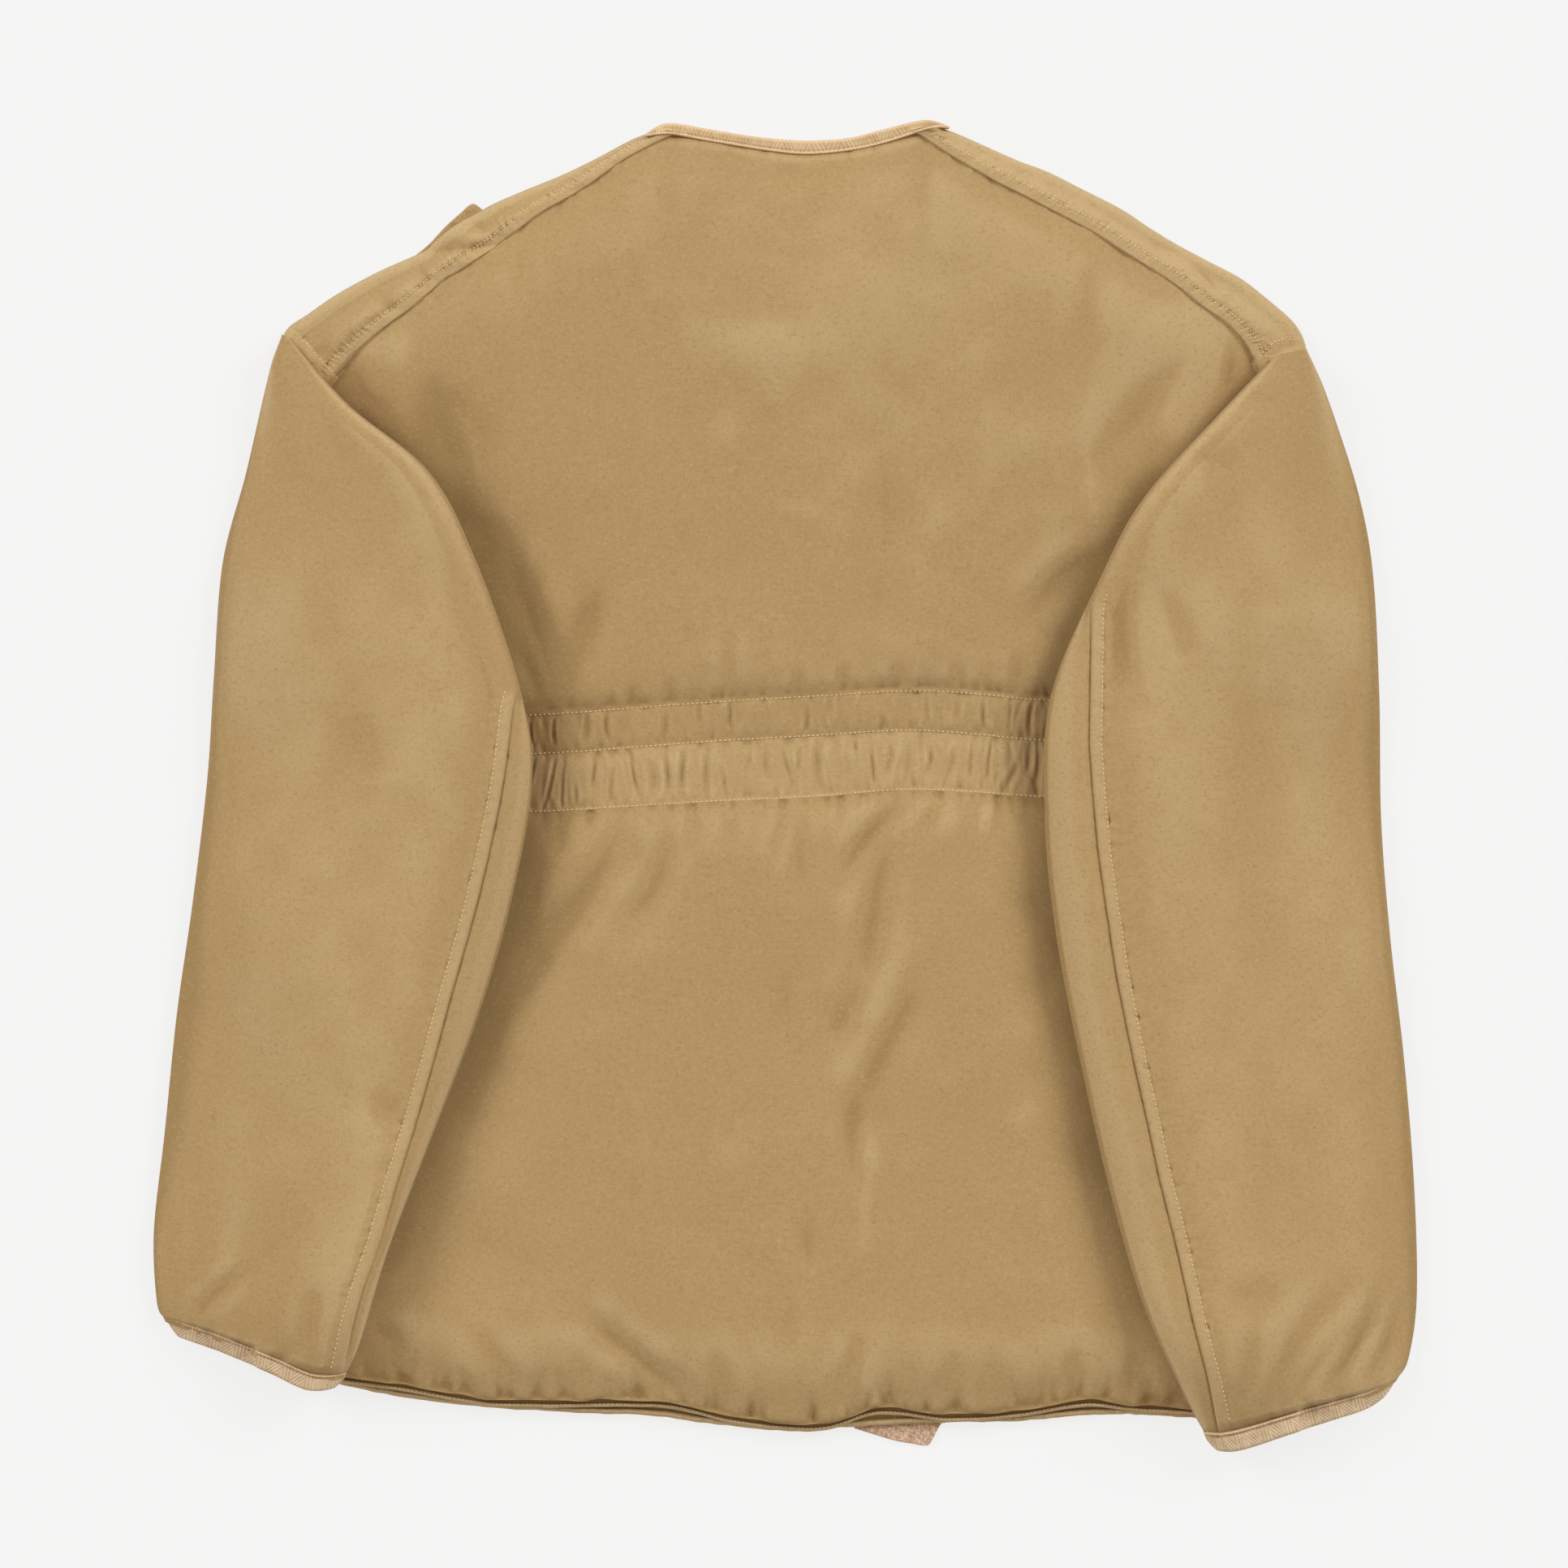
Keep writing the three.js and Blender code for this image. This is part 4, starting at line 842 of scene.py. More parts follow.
def shoulder_cloth(name, node, table, armhole, lift, seed):
    share, over = np.meshgrid(np.linspace(0, 1, 400), np.r_[0, 0.02, 0.05, 0.09, np.linspace(0.14, 1, 36)])
    seam_x, seam_y, fold_x, fold_y = row_at(table, share)
    width = np.hypot(fold_x - seam_x, fold_y - seam_y) + 1e-6
    fuller = 1.4 * smoothstep(share, 0.03, 0.12) / width
    fold_x, fold_y = fold_x + (fold_x - seam_x) * fuller, fold_y + (fold_y - seam_y) * fuller
    width = width * (1 + fuller)
    reach = over * (width + UNDERLAP) / width
    x, y = between(fold_x, seam_x, reach), between(fold_y, seam_y, reach)
    away = reach * width
    down = width - away
    inside = np.clip(reach, 0.3, 0.8)
    top = blurred(heights(node, between(fold_x, seam_x, inside), between(fold_y, seam_y, inside)), 2, 4)
    seam_level = lie(seam_x, seam_y)
    top = top * (1 - smoothstep(over, 0.25, 1)) + (seam_level + 0.4) * smoothstep(over, 0.25, 1)
    top += folded(x, y, SHOULDER_FOLDS) + 0.5 * lumps(x, y, 18, seed) + 0.2 * lumps(x, y, 8, seed + 5)
    run = share * 255
    strip = np.minimum(6.0, width * 0.6)
    top -= 3.0 * smoothstep(share, 0.94, 1.0)
    raised = 1 - smoothstep(down, strip - 0.4, strip + 0.8)
    top += 0.6 * (1 - smoothstep(down, strip - 1.5, strip + 7))
    hatch = stitch_ridges(run, down - strip, 2.6, 0.36, 2.8, seed + 3)
    top += puckers(run, strip - down, 120, (0, 255), 0.45, 0.8, 5, seed + 1)
    top += puckers(run, down - strip, 100, (0, 255), 0.5, 1.3, 9, seed + 2)
    off, far = stroke_distance(x, y, armhole)
    far, off = 56 * far, np.abs(off) - 5.6
    hem_of_arm = 1 - smoothstep(off, -0.6, 1.2)
    top += 0.5 * (1 - smoothstep(off, -1.5, 6))
    hatch += stitch_ridges(far, off, 2.6, 0.36, 3.2, seed + 4)
    top += hatch
    top += puckers(far, off, 26, (0, 56), 0.5, 1.3, 8, seed + 6)
    top -= 0.5 * (1 - rim_round(down, 0.9)) + 2.6 * smoothstep(-down, 0, 0.5)
    top -= 0.8 * (1 - smoothstep(share, 0.0, 0.05))
    top = 0.4 + (top - 0.4) * rim_round(away, 9)
    bottom = np.where(away < 4, 0, floor_of_back(x, y))
    bottom = np.minimum(bottom, top - 0.4)
    # fade: lift draws the turned cloth paler, painted light on the right shoulder; the hatch draws stitch ridges
    # paler and dips darker, painted light and shade
    return slab(name, x, y, top, bottom, nodes=(node,), along=run, side=down,
                fade=lift + 0.8 * np.maximum(raised, hem_of_arm) + 0.9 * hatch)


# the right shoulder gets painted light: a lift of 1.0 against 0.05 on the left
shoulder_left = shoulder_cloth("shoulder_left_cloth", "shoulder_left", LEFT_TUCKED, LEFT_ARMHOLE, 0.05, 91)
shoulder_right = shoulder_cloth("shoulder_right_cloth", "shoulder_right", RIGHT_TUCKED, RIGHT_ARMHOLE, 1.0, 95)

# %% [markdown]
# Each hem is turned twice and stitched, so it is a thin roll under the edge of its filled panel. The cloth of
# the panel is fuller than the hem, so the stitches draw the roll up into small puckers.

# %% Hems
BAND = 4.0                    # the width of a roll


def hem_roll(name, node, line, span, level, hidden, groove, lift, seed):
    """A roll along a hem line, below a groove, with a hidden strip that runs up inside the jacket."""
    across_roll = np.r_[-hidden, -hidden / 2, np.linspace(0, 1, 14) * BAND]
    share, over = np.meshgrid(np.linspace(0, 1, 420), across_roll / BAND)
    x = span[0] + (span[1] - span[0]) * share
    edge = line(x)
    y = edge - 0.1 - over * (BAND - 0.2) + 0.35 * lumps(share * 560, 0 * share, 9, seed + 2)
    under = level(x, edge)
    bend = np.sin(np.pi * np.clip((over - groove) / (1 - groove), 0, 1) ** 1.1 * 0.96)
    run = share * (span[1] - span[0])
    top = under + 0.3 + lift + 2.4 * bend ** 0.7
    top += 0.5 * lumps(run * 1.3, over * 4, 3.1, seed) * bend + 0.5 * lumps(run, 0 * run, 17, seed + 1) * bend
    top += stitch_ridges(run, (over - 0.5) * BAND, 2.4, 0.25, 2.0, seed + 3)
    # the crest of the roll is drawn paler, and the groove beside the panel darker, which is painted shade
    fade = 0.9 * bend - (2.6 if groove else 0.2) * (1 - smoothstep(over, groove, groove + 0.25))
    return slab(name, x, y, top, np.minimum(under, top - 0.3), nodes=(node,), along=run,
                side=over * BAND, fade=fade)


front_level = lambda x, y: np.zeros(x.shape)
front_line = lambda x: front_hem(x) + BAND - 1.4
hem_back = hem_roll("hem_back_cloth", "hem_band_back", back_hem, (-290, 304),
                    lambda x, y: floor_of_back(x, y + 2) - 1.5, 3, 0.3, 0.0, 101)
PLACKET_FOOT = 62.0           # where the two fronts meet at the hem
hem_left = hem_roll("hem_front_left_cloth", "hem_band_front_left", front_line,
                    (-290, PLACKET_FOOT - 0.05), front_level, 7, 0.0, 3.0, 111)
hem_right = hem_roll("hem_front_right_cloth", "hem_band_front_right", front_line,
                     (PLACKET_FOOT + 0.05, 304), front_level, 7, 0.0, 3.0, 121)

# %% [markdown]
# The neck is bound with a folded herringbone tape. Its inner edge is a rolled selvedge, and its outer edge is
# the fold, so the section is higher at the roll and rounds off at the fold.

# %% Neck tape
share, over = np.meshgrid(np.linspace(0, 1, 400), np.linspace(0, 1, 24))
inner_x, inner_y, outer_x, outer_y = row_at(NECK_TAPE, share)
inner_y = inner_y - 0.6
tape_x, tape_y = between(inner_x, outer_x, over), between(inner_y, outer_y, over)
tape_under = floor_of_back(tape_x, tape_y)
tape_width = np.hypot(outer_x - inner_x, outer_y - inner_y)
tape_run = share * 192
tape_top = lie(tape_x, np.minimum(tape_y, shoulder_line(tape_x) - 1)) * (1 - 0.3 * over) + 0.3 * over * tape_under
tape_top = np.minimum(tape_top + 1.5, tape_under + 5.6)
on_shoulder, hit = cast(surface_of(shoulder_left, shoulder_right), tape_x, tape_y)
tape_top = np.where(hit, np.maximum(tape_top, on_shoulder + 0.9), tape_top)
tape_top = blurred(tape_top, 1.5, 5) + 0.35 * lumps(tape_run, over * 6, 7, 131)
tape_in = over * tape_width
tape_top = tape_under + 0.3 + (tape_top - tape_under - 0.3) * rim_round((1 - over) * tape_width, 2.6)
selvedge = bell(tape_in - 0.75, 0.55)
tape_top += 0.5 * selvedge - 0.5 * bell(tape_in - 1.9, 0.5) - 0.7 * (1 - rim_round(tape_in, 0.5))
tape_top += 0.18 * selvedge * np.cos(2 * math.pi * tape_run / 1.9)
tape_top -= 1.6 * (1 - smoothstep(np.minimum(share, 1 - share), 0.0, 0.02))
neck_tape = slab(
    "neck_tape_cloth", tape_x, tape_y, tape_top, np.minimum(tape_under, tape_top - 0.3),
    nodes=("neck_tape",), along=tape_run, side=tape_in, fade=1.6 * selvedge)

# %% [markdown]
# Each cuff is bound with the same folded tape, sewn on as a ring: it lies over the end of the sleeve, turns at
# the rim and goes back inside. A grid is bent into that ring, and its two seams are then merged.

# %% Cuff tapes
CUFFS = {                     # outer x, outer y, inner x, inner y: at the sleeve's end, and at the rim
    "left": ((-346.6, -298.6, -244.6, -329.4), (-341.5, -307.8, -249.5, -336.4)),
    "right": ((343.2, -332.2, 234.6, -362.6), (338.5, -341.4, 240.5, -371.4)),
}


def cuff_ring(name, node, seam, rim, sag, end, seed):
    seam, rim = np.array(seam), np.array(rim)
    seam, rim = seam - 0.02 * (rim - seam), rim + 0.2 * (rim - seam)
    angle, path = np.meshgrid(np.linspace(0, 2 * np.pi, 281), np.linspace(0, 1, 45))
    along = np.interp(path, [0, 0.5, 0.55, 1], [0, 1, 1, 0.1])       # 0 at the sleeve, 1 at the rim
    thin = 1.2 * smoothstep(path, 0.46, 0.60) * (1 - smoothstep(path, 0.94, 1.0))
    ends = seam[:, None, None] * (1 - along) + rim[:, None, None] * along
    width = np.hypot(ends[0] - ends[2], ends[1] - ends[3])
    rounded = 2.2 * (1 - np.sqrt(1 - ((along - 0.3) / 0.7).clip(0, 1) ** 2))
    rounded = rounded - 0.9 * smoothstep(along, 0, 0.4)
    share = 0.5 + (0.5 - (thin + rounded) / width) * np.cos(angle)
    run = share * width
    from_sleeve = along * 11.0
    outside = path < 0.46
    selvedge = bell(from_sleeve - 0.9, 0.6) * outside
    groove = bell(from_sleeve - 2.1, 0.55) * outside
    swell = 0.9 * selvedge - 0.7 * groove + 0.25 * lumps(run, from_sleeve, 6, seed) \
        + 0.15 * selvedge * np.cos(2 * np.pi * run / 1.9)
    round_rim = 1.6 * (1 - np.sqrt(np.clip(1 - ((along - 0.8) / 0.2).clip(0, 1) ** 2, 0, 1)))
    around = np.sign(np.sin(angle)) * np.abs(np.sin(angle)) ** 0.3
    sleeve_top, sleeve_bottom = np.interp(share, end[0], end[1]), np.interp(share, end[0], end[2])
    half = (sleeve_top - sleeve_bottom) / 2 + 1.1
    z = (sleeve_top + sleeve_bottom) / 2 + around * np.maximum(half - thin + swell - round_rim, 0.3)
    x = between(ends[2], ends[0], share)
    y = between(ends[3], ends[1], share) + through(sag)(share) + 0.6 * lumps(run, 0 * run, 24, seed + 1)
    bm = bmesh.new()
    wear_and_shade, place = bm.verts.layers.float.new("wear_and_shade"), bm.verts.layers.int.new("place")
    bmesh.ops.create_grid(bm, x_segments=280, y_segments=44, size=1)
    px, py, pz = (values.tolist() for values in (*metres(x.ravel(), y.ravel()), z.ravel() * MM))
    # the selvedge is drawn paler, and the groove below it darker, which is painted shade
    light = (2.4 * selvedge - 2.2 * groove).ravel().tolist()
    for i, vert in enumerate(bm.verts):
        vert.co, vert[wear_and_shade], vert[place] = (px[i], py[i], max(pz[i], 0.0002)), light[i], i
    map_along(bm, place, run, from_sleeve)
    bmesh.ops.remove_doubles(bm, verts=bm.verts, dist=2e-6)
    rim_edges = [e for e in bm.edges if e.is_boundary]
    if rim_edges:
        bmesh.ops.bridge_loops(bm, edges=rim_edges)
    bmesh.ops.recalc_face_normals(bm, faces=bm.faces)
    return cloth_object(name, bm, (node,))


cuff_left = cuff_ring("cuff_tape_left_cloth", "cuff_tape_left", *CUFFS["left"], LEFT_SAG, left_end, 145)
cuff_right = cuff_ring("cuff_tape_right_cloth", "cuff_tape_right", *CUFFS["right"], RIGHT_SAG, right_end, 146)

# %% [markdown]
# Two ends of tape show past the rim: a brushed one on the edge of a front, below the hem, and a ribbed one that
# follows the fold of the left shoulder. Both run on a little under the cloth that they are sewn to.

# %% The two ends of tape: x and y under the cloth, x and y at the free edge
EDGE_TAB = [
    (38, -357, 39.5, -361.6), (50, -357, 48.5, -364.4), (62, -357, 62, -368.4), (73, -357, 74.5, -370.6),
    (80, -357, 79.2, -371.2), (86, -357, 82.4, -369.4), (91, -357, 88.2, -357.6),
]
SHOULDER_CORNER = [
    (-208, 288, -209.5, 294.6), (-200, 295, -199.6, 302.6), (-190, 303, -190.4, 312.4),
    (-181, 309, -181.8, 320.2), (-175, 312, -174.8, 325.6), (-167, 313, -168.4, 321.6),
]


def tape_end(name, node, table, level, thick, shown, seed):
    share, over = np.meshgrid(np.linspace(0, 1, 120), np.linspace(0, 1, 26))
    hid_x, hid_y, free_x, free_y = row_at(table, share)
    x, y = between(hid_x, free_x, over), between(hid_y, free_y, over)
    width = np.hypot(free_x - hid_x, free_y - hid_y)
    rim = np.minimum((1 - over) * width, 24 * np.minimum(share, 1 - share) + 0.3)
    top = level * (1 - over) + thick + 0.45 * lumps(x, y, 4.5, seed) + 0.15 * lumps(x, y, 1.7, seed + 1)
    top = 0.3 + (top - 0.3) * rim_round(rim, 0.9)
    # a dark line where the tape goes under the cloth's edge, which is painted shade
    fold_line = bell((1 - over) * width - shown, 1.0)
    return slab(name, x, y, top, 0 * top + 0.1, nodes=(node,), along=share * 50, side=over * width,
                fade=-1.8 * fold_line)


edge_tab = tape_end("front_edge_tab_cloth", "front_edge_tab", EDGE_TAB, 0.0, 1.7, -9, 143)
corner = tape_end("shoulder_corner_cloth", "shoulder_corner", SHOULDER_CORNER, 0.6, 1.5, 3.7, 144)

# %% [markdown]
# The fronts are hidden under the back. Copies of their solids are merged, divided and smoothed until they look
# sewn rather than cut from a block.

# %% Fronts
SWELL, LUMP = 0.5, 30         # how far soft lumps move the fronts, and how far apart they are


def softened(name, node, seed):
    """A smooth copy of a CAD node, moved a little by soft lumps."""
    bm = bmesh.new()
    bm.from_mesh(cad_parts[node].data)
    bmesh.ops.remove_doubles(bm, verts=bm.verts, dist=1e-6)
    bmesh.ops.join_triangles(bm, faces=bm.faces, angle_face_threshold=0.6, angle_shape_threshold=0.9)
    bm.verts.layers.float.new("wear_and_shade")
    bmesh.ops.subdivide_edges(bm, edges=bm.edges[:], cuts=2, use_grid_fill=True)
    for _ in range(2):
        bmesh.ops.smooth_vert(bm, verts=bm.verts, factor=0.5, use_axis_x=True, use_axis_y=True, use_axis_z=True)
    points = np.array([v.co for v in bm.verts]) / MM
    lift = SWELL * lumps(points[:, 0], points[:, 1] + 0.7 * points[:, 2], LUMP, seed)
    bm.normal_update()
    for vert, move in zip(bm.verts, lift.tolist()):
        if vert.co.z > 0.0006:
            vert.co += vert.normal * move * MM
            vert.co.z = max(vert.co.z, 0.0003)
    return cloth_object(name, bm, nodes=(node,))


front_left = softened("front_left_cloth", "front_left", 141)
front_right = softened("front_right_cloth", "front_right", 142)

# %% [markdown]
# The strips, hems and tapes are single layers of cloth. A gathered strip is longer than the place it fills,
# and a folded tape is wider. The front hems' cloths are larger than the sizes stated here.

# %% [markdown]
# Stitches are short lengths of thread that sink at both ends. Each is a small sphere, stretched along its row,
# and every row lies on the finished cloth, where a ray finds its height.

# %% Stitches
def curve_points(rows, step):
    """Points at even steps along a chain of points."""
    rows = np.array(rows, float)
    far = np.r_[0, np.cumsum(np.hypot(*np.diff(rows, axis=0).T))]
    at = np.arange(step / 2, far[-1], step)
    return np.stack([np.interp(at, far, rows[:, 0]), np.interp(at, far, rows[:, 1])], 1)


def stitches(name, rows_on):
    """Rows of stitches: each row is (points in mm, surface, pitch, length, width)."""
    turns, middles = [], []
    for rows, tree, pitch, length, width in rows_on:
        points = curve_points(rows, pitch)
        ahead = np.gradient(points, axis=0)
        for (x, y), (dx, dy) in zip(points, ahead / np.hypot(*ahead.T)[:, None]):
            ends = []
            for sign in (-0.5, 0.5):
                start = Vector((*metres(x + sign * length * dx, y + sign * length * dy), 0.2))
                ends.append(tree.ray_cast(start, Vector((0, 0, -1)))[0])
            if None in ends:
                continue
            way = (ends[1] - ends[0]).normalized()
            side = Vector((0, 0, 1)).cross(way).normalized()
            size = (0.5 * length * MM, 0.5 * width * MM, 0.42 * width * MM)
            turns.append([[a * k for a, k in zip(row, size)] for row in zip(way, side, way.cross(side))])
            middles.append((ends[0] + ends[1]) / 2 + Vector((0, 0, 0.22 * width * MM)))
    bm = bmesh.new()
    number = bm.verts.layers.int.new("number")
    bmesh.ops.create_uvsphere(bm, u_segments=6, v_segments=4, radius=1)
    made = 1
    while made < len(middles):              # doubles the stitches until there are enough
        take = min(made, len(middles) - made)
        faces = [face for face in bm.faces if face.verts[0][number] < take]
        for item in bmesh.ops.duplicate(bm, geom=faces)["geom"]:
            if isinstance(item, bmesh.types.BMVert):
                item[number] += made
        made += take
    which = [vert[number] for vert in bm.verts]
    local = np.array([vert.co for vert in bm.verts])
    moved = np.einsum("nij,nj->ni", np.array(turns)[which], local) + np.array(middles)[which]
    for vert, co in zip(bm.verts, moved.tolist()):
        vert.co = co
    bmesh.ops.recalc_face_normals(bm, faces=bm.faces)
    print(name, "has", made, "stitches")
    return cloth_object(name, bm)


span = np.linspace(-268, 276, 240)
waist_rows = [
    (np.stack([span, waist_top(span) - 0.5], 1), surface_of(channel), 2.6, 1.5, 0.85),
    (np.stack([span, waist_middle(span) + 0.5], 1), surface_of(channel), 2.6, 1.5, 0.9),
    (np.stack([span, waist_bottom(span) + 0.5], 1), surface_of(casing), 2.6, 1.5, 0.85),
]
waist_stitches = stitches("waist_stitches", waist_rows)


def beside_shoulder(table, off):
    share = np.linspace(0.02, 0.985, 200)
    seam_x, seam_y, fold_x, fold_y = row_at(table, share)
    width = np.hypot(fold_x - seam_x, fold_y - seam_y)
    reach = np.minimum(off / width, 0.8)
    return np.stack([between(seam_x, fold_x, reach), between(seam_y, fold_y, reach)], 1)


def beside_seam(table, cross, off):
    share = np.linspace(0, 1, len(cross))
    outer_x, outer_y, inner_x, inner_y = row_at(table, share)
    width = np.hypot(outer_x - inner_x, outer_y - inner_y)
    reach = (cross + off) / width
    rows = np.stack([between(inner_x, outer_x, reach), between(inner_y, outer_y, reach)], 1)
    return rows[(cross > 1.5) & (share > 0.2) & (share < 0.985)]


seam_rows = []
for piece, table in ((shoulder_left, LEFT_SHOULDER), (shoulder_right, RIGHT_SHOULDER)):
    surface = surface_of(piece)
    seam_rows.append((beside_shoulder(table, 6.2), surface, 2.3, 1.6, 0.8))
for piece, table, cross in ((sleeve_left, LEFT_SLEEVE, left_cross), (sleeve_right, RIGHT_SLEEVE, right_cross)):
    seam_rows.append((beside_seam(table, cross, 6.2), surface_of(piece), 2.7, 1.5, 0.85))
for piece, armhole in ((shoulder_left, [(-272.5, 252.5), (-239, 214.5)]),
                       (shoulder_right, [(256, 229), (262.5, 236.6), (274.5, 247.4), (284, 250.5), (291, 249.6)])):
    seam_rows.append((armhole, surface_of(piece), 2.3, 1.6, 0.7))
seam_stitches = stitches("seam_stitches", seam_rows)

neck_x, neck_y = row_at(NECK_TAPE, np.linspace(0.02, 0.98, 300))[:2]
hem_span = np.linspace(-284, 300, 300)
tape_stitches = stitches("tape_and_hem_stitches", [
    (np.stack([neck_x, neck_y + 0.1], 1), surface_of(neck_tape), 1.9, 1.1, 0.5),
    (np.stack([hem_span, back_hem(hem_span) - 2.3], 1), surface_of(hem_back), 2.4, 1.5, 0.55),
])

# %% [markdown]
# The cloth is a garment-dyed plain weave. Its group of nodes gives three things that change over the surface:
# an uneven dye, the height of the threads, and a roughness. A value on each point makes the dye paler where the
# cloth stands proud, partly wear and partly painted light, and darker in hollows, which is painted shade.

# %% Dyed cloth
def new_group(name, inputs, outputs):
    group = bpy.data.node_groups.new(name, "ShaderNodeTree")
    for label, kind in inputs:
        group.interface.new_socket(label, in_out="INPUT", socket_type=kind)
    for label, kind in outputs:
        group.interface.new_socket(label, in_out="OUTPUT", socket_type=kind)
    start, end = group.nodes.new("NodeGroupInput"), group.nodes.new("NodeGroupOutput")
    return group, start, end


class Nodes:
    """Short calls for the nodes of one tree."""

    def __init__(self, tree):
        self.tree = tree

    def add(self, kind, **settings):
        node = self.tree.nodes.new(kind)
        for key, value in settings.items():
            setattr(node, key, value)
        return node

    def feed(self, socket, value):
        if isinstance(value, bpy.types.NodeSocket):
            self.tree.links.new(value, socket)
        else:
            socket.default_value = value

    def math(self, operation, a, b=0.0, clamp=False):
        node = self.add("ShaderNodeMath", operation=operation, use_clamp=clamp)
        for socket, value in zip(node.inputs, (a, b)):
            self.feed(socket, value)
        return node.outputs[0]

    def noise(self, where, scale, detail, roughness=0.5):
        node = self.add("ShaderNodeTexNoise")
        for label, value in (("Vector", where), ("Scale", scale), ("Detail", detail), ("Roughness", roughness)):
            self.feed(node.inputs[label], value)
        return node.outputs["Fac"]

    def stretched(self, where, scale):
        node = self.add("ShaderNodeMapping")
        self.feed(node.inputs["Vector"], where)
        node.inputs["Scale"].default_value = scale
        return node.outputs[0]

    def blend(self, share, first, second):
        node = self.add("ShaderNodeMix", data_type="RGBA")
        self.feed(node.inputs["Factor"], share)
        self.feed(node.inputs[6], first)
        self.feed(node.inputs[7], second)
        return node.outputs[2]

    def ramp(self, value, low, high):
        node = self.add("ShaderNodeMapRange", interpolation_type="SMOOTHSTEP")
        for label, item in (("Value", value), ("From Min", low), ("From Max", high)):
            self.feed(node.inputs[label], item)
        return node.outputs[0]


COLOUR, NUMBER = "NodeSocketColor", "NodeSocketFloat"
WEAVE = 0.00062               # metres from thread to thread
woven, start, end = new_group(
    "dyed_plain_weave", [("Dye", COLOUR), ("Faded_and_painted_light", COLOUR), ("Deep_dye_and_painted_shade", COLOUR), ("Warm", COLOUR)],
    [("Color", COLOUR), ("Threads", NUMBER), ("Roughness", NUMBER)])
n = Nodes(woven)
where = n.add("ShaderNodeTexCoord").outputs["Object"]
warp = n.noise(n.stretched(where, (1700, 420, 420)), 1.0, 1.0)
weft = n.noise(n.stretched(where, (330, 1700, 330)), 1.0, 1.0)
threads = n.math("MULTIPLY", n.math("ADD", warp, weft), 0.5)
split = n.add("ShaderNodeSeparateXYZ")
n.feed(split.inputs[0], where)
regular = n.math("MULTIPLY", n.math("SINE", n.math("MULTIPLY", split.outputs[0], 2 * math.pi / WEAVE)),
                 n.math("SINE", n.math("MULTIPLY", split.outputs[1], 2 * math.pi / WEAVE)))
height = n.math("ADD", threads, n.math("MULTIPLY", regular, 0.12))
broad = n.noise(where, 9.0, 3.0, 0.55)
patchy = n.noise(where, 42.0, 3.0, 0.6)
speck = n.noise(where, 420.0, 2.0, 0.6)
worn_and_shaded = n.add("ShaderNodeAttribute", attribute_name="wear_and_shade").outputs["Fac"]
colour = n.blend(n.ramp(broad, 0.35, 0.68), start.outputs["Dye"], start.outputs["Warm"])
colour = n.blend(n.math("MULTIPLY", n.ramp(patchy, 0.52, 0.78), 0.05), colour, start.outputs["Faded_and_painted_light"])
colour = n.blend(n.math("MULTIPLY", n.ramp(patchy, 0.48, 0.24), 0.05), colour, start.outputs["Deep_dye_and_painted_shade"])
# paler where the value is high and darker where it is low: partly wear, partly painted light and shade
colour = n.blend(n.math("MULTIPLY", n.ramp(worn_and_shaded, 0.05, 0.8), 0.58), colour, start.outputs["Faded_and_painted_light"])
colour = n.blend(n.math("MULTIPLY", n.ramp(worn_and_shaded, -0.05, -1.15), 0.62), colour, start.outputs["Deep_dye_and_painted_shade"])
grain = n.math("ADD", n.math("MULTIPLY", threads, 0.7), n.math("MULTIPLY", speck, 0.3))
colour = n.blend(n.math("MULTIPLY", n.ramp(grain, 0.51, 0.66), 0.38), colour, start.outputs["Faded_and_painted_light"])
colour = n.blend(n.math("MULTIPLY", n.ramp(grain, 0.49, 0.36), 0.42), colour, start.outputs["Deep_dye_and_painted_shade"])
n.feed(end.inputs["Color"], colour)
n.feed(end.inputs["Threads"], height)
n.feed(end.inputs["Roughness"], n.math("ADD", 0.84, n.math("MULTIPLY", threads, 0.16)))


def new_material(name, gloss):
    """A material, its nodes, and its shader with a given specular level."""
    material = bpy.data.materials.new(name)
    material.use_nodes = True
    surface = material.node_tree.nodes["Principled BSDF"]
    surface.inputs["Specular IOR Level"].default_value = gloss
    return material, Nodes(material.node_tree), surface


def emboss(n, surface, height, strength, distance):
    """Bump from a height: distance is in metres."""
    relief = n.add("ShaderNodeBump")
    relief.inputs["Strength"].default_value = strength
    relief.inputs["Distance"].default_value = distance
    n.feed(relief.inputs["Height"], height)
    n.feed(surface.inputs["Normal"], relief.outputs[0])


def cloth_material(name, dye, faded_and_painted_light, deep, warm):
    # deep is the darker dye, which also serves as painted shade in hollows and beside the sleeves
    material, n, surface = new_material(name, 0.2)
    cloth = n.add("ShaderNodeGroup", node_tree=woven)
    for label, colour in (("Dye", dye), ("Faded_and_painted_light", faded_and_painted_light), ("Deep_dye_and_painted_shade", deep), ("Warm", warm)):
        cloth.inputs[label].default_value = (*colour, 1)
    n.feed(surface.inputs["Base Color"], cloth.outputs["Color"])
    n.feed(surface.inputs["Roughness"], cloth.outputs["Roughness"])
    emboss(n, surface, cloth.outputs["Threads"], 0.16, 0.0004)
    surface.inputs["Sheen Weight"].default_value = 0.12
    surface.inputs["Sheen Roughness"].default_value = 0.6
    return material


shell = cloth_material("shell_cotton", (0.470, 0.312, 0.136), (0.60, 0.43, 0.218), (0.33, 0.205, 0.074),
                       (0.484, 0.315, 0.134))
light = cloth_material("casing_cotton", (0.515, 0.350, 0.158), (0.64, 0.465, 0.25), (0.37, 0.235, 0.098),
                       (0.53, 0.352, 0.162))

# %% [markdown]
# The tapes are herringbone: narrow ribs that change direction in blocks along the tape. Their pattern follows
# the tape's own length, which its map of coordinates gives in metres.

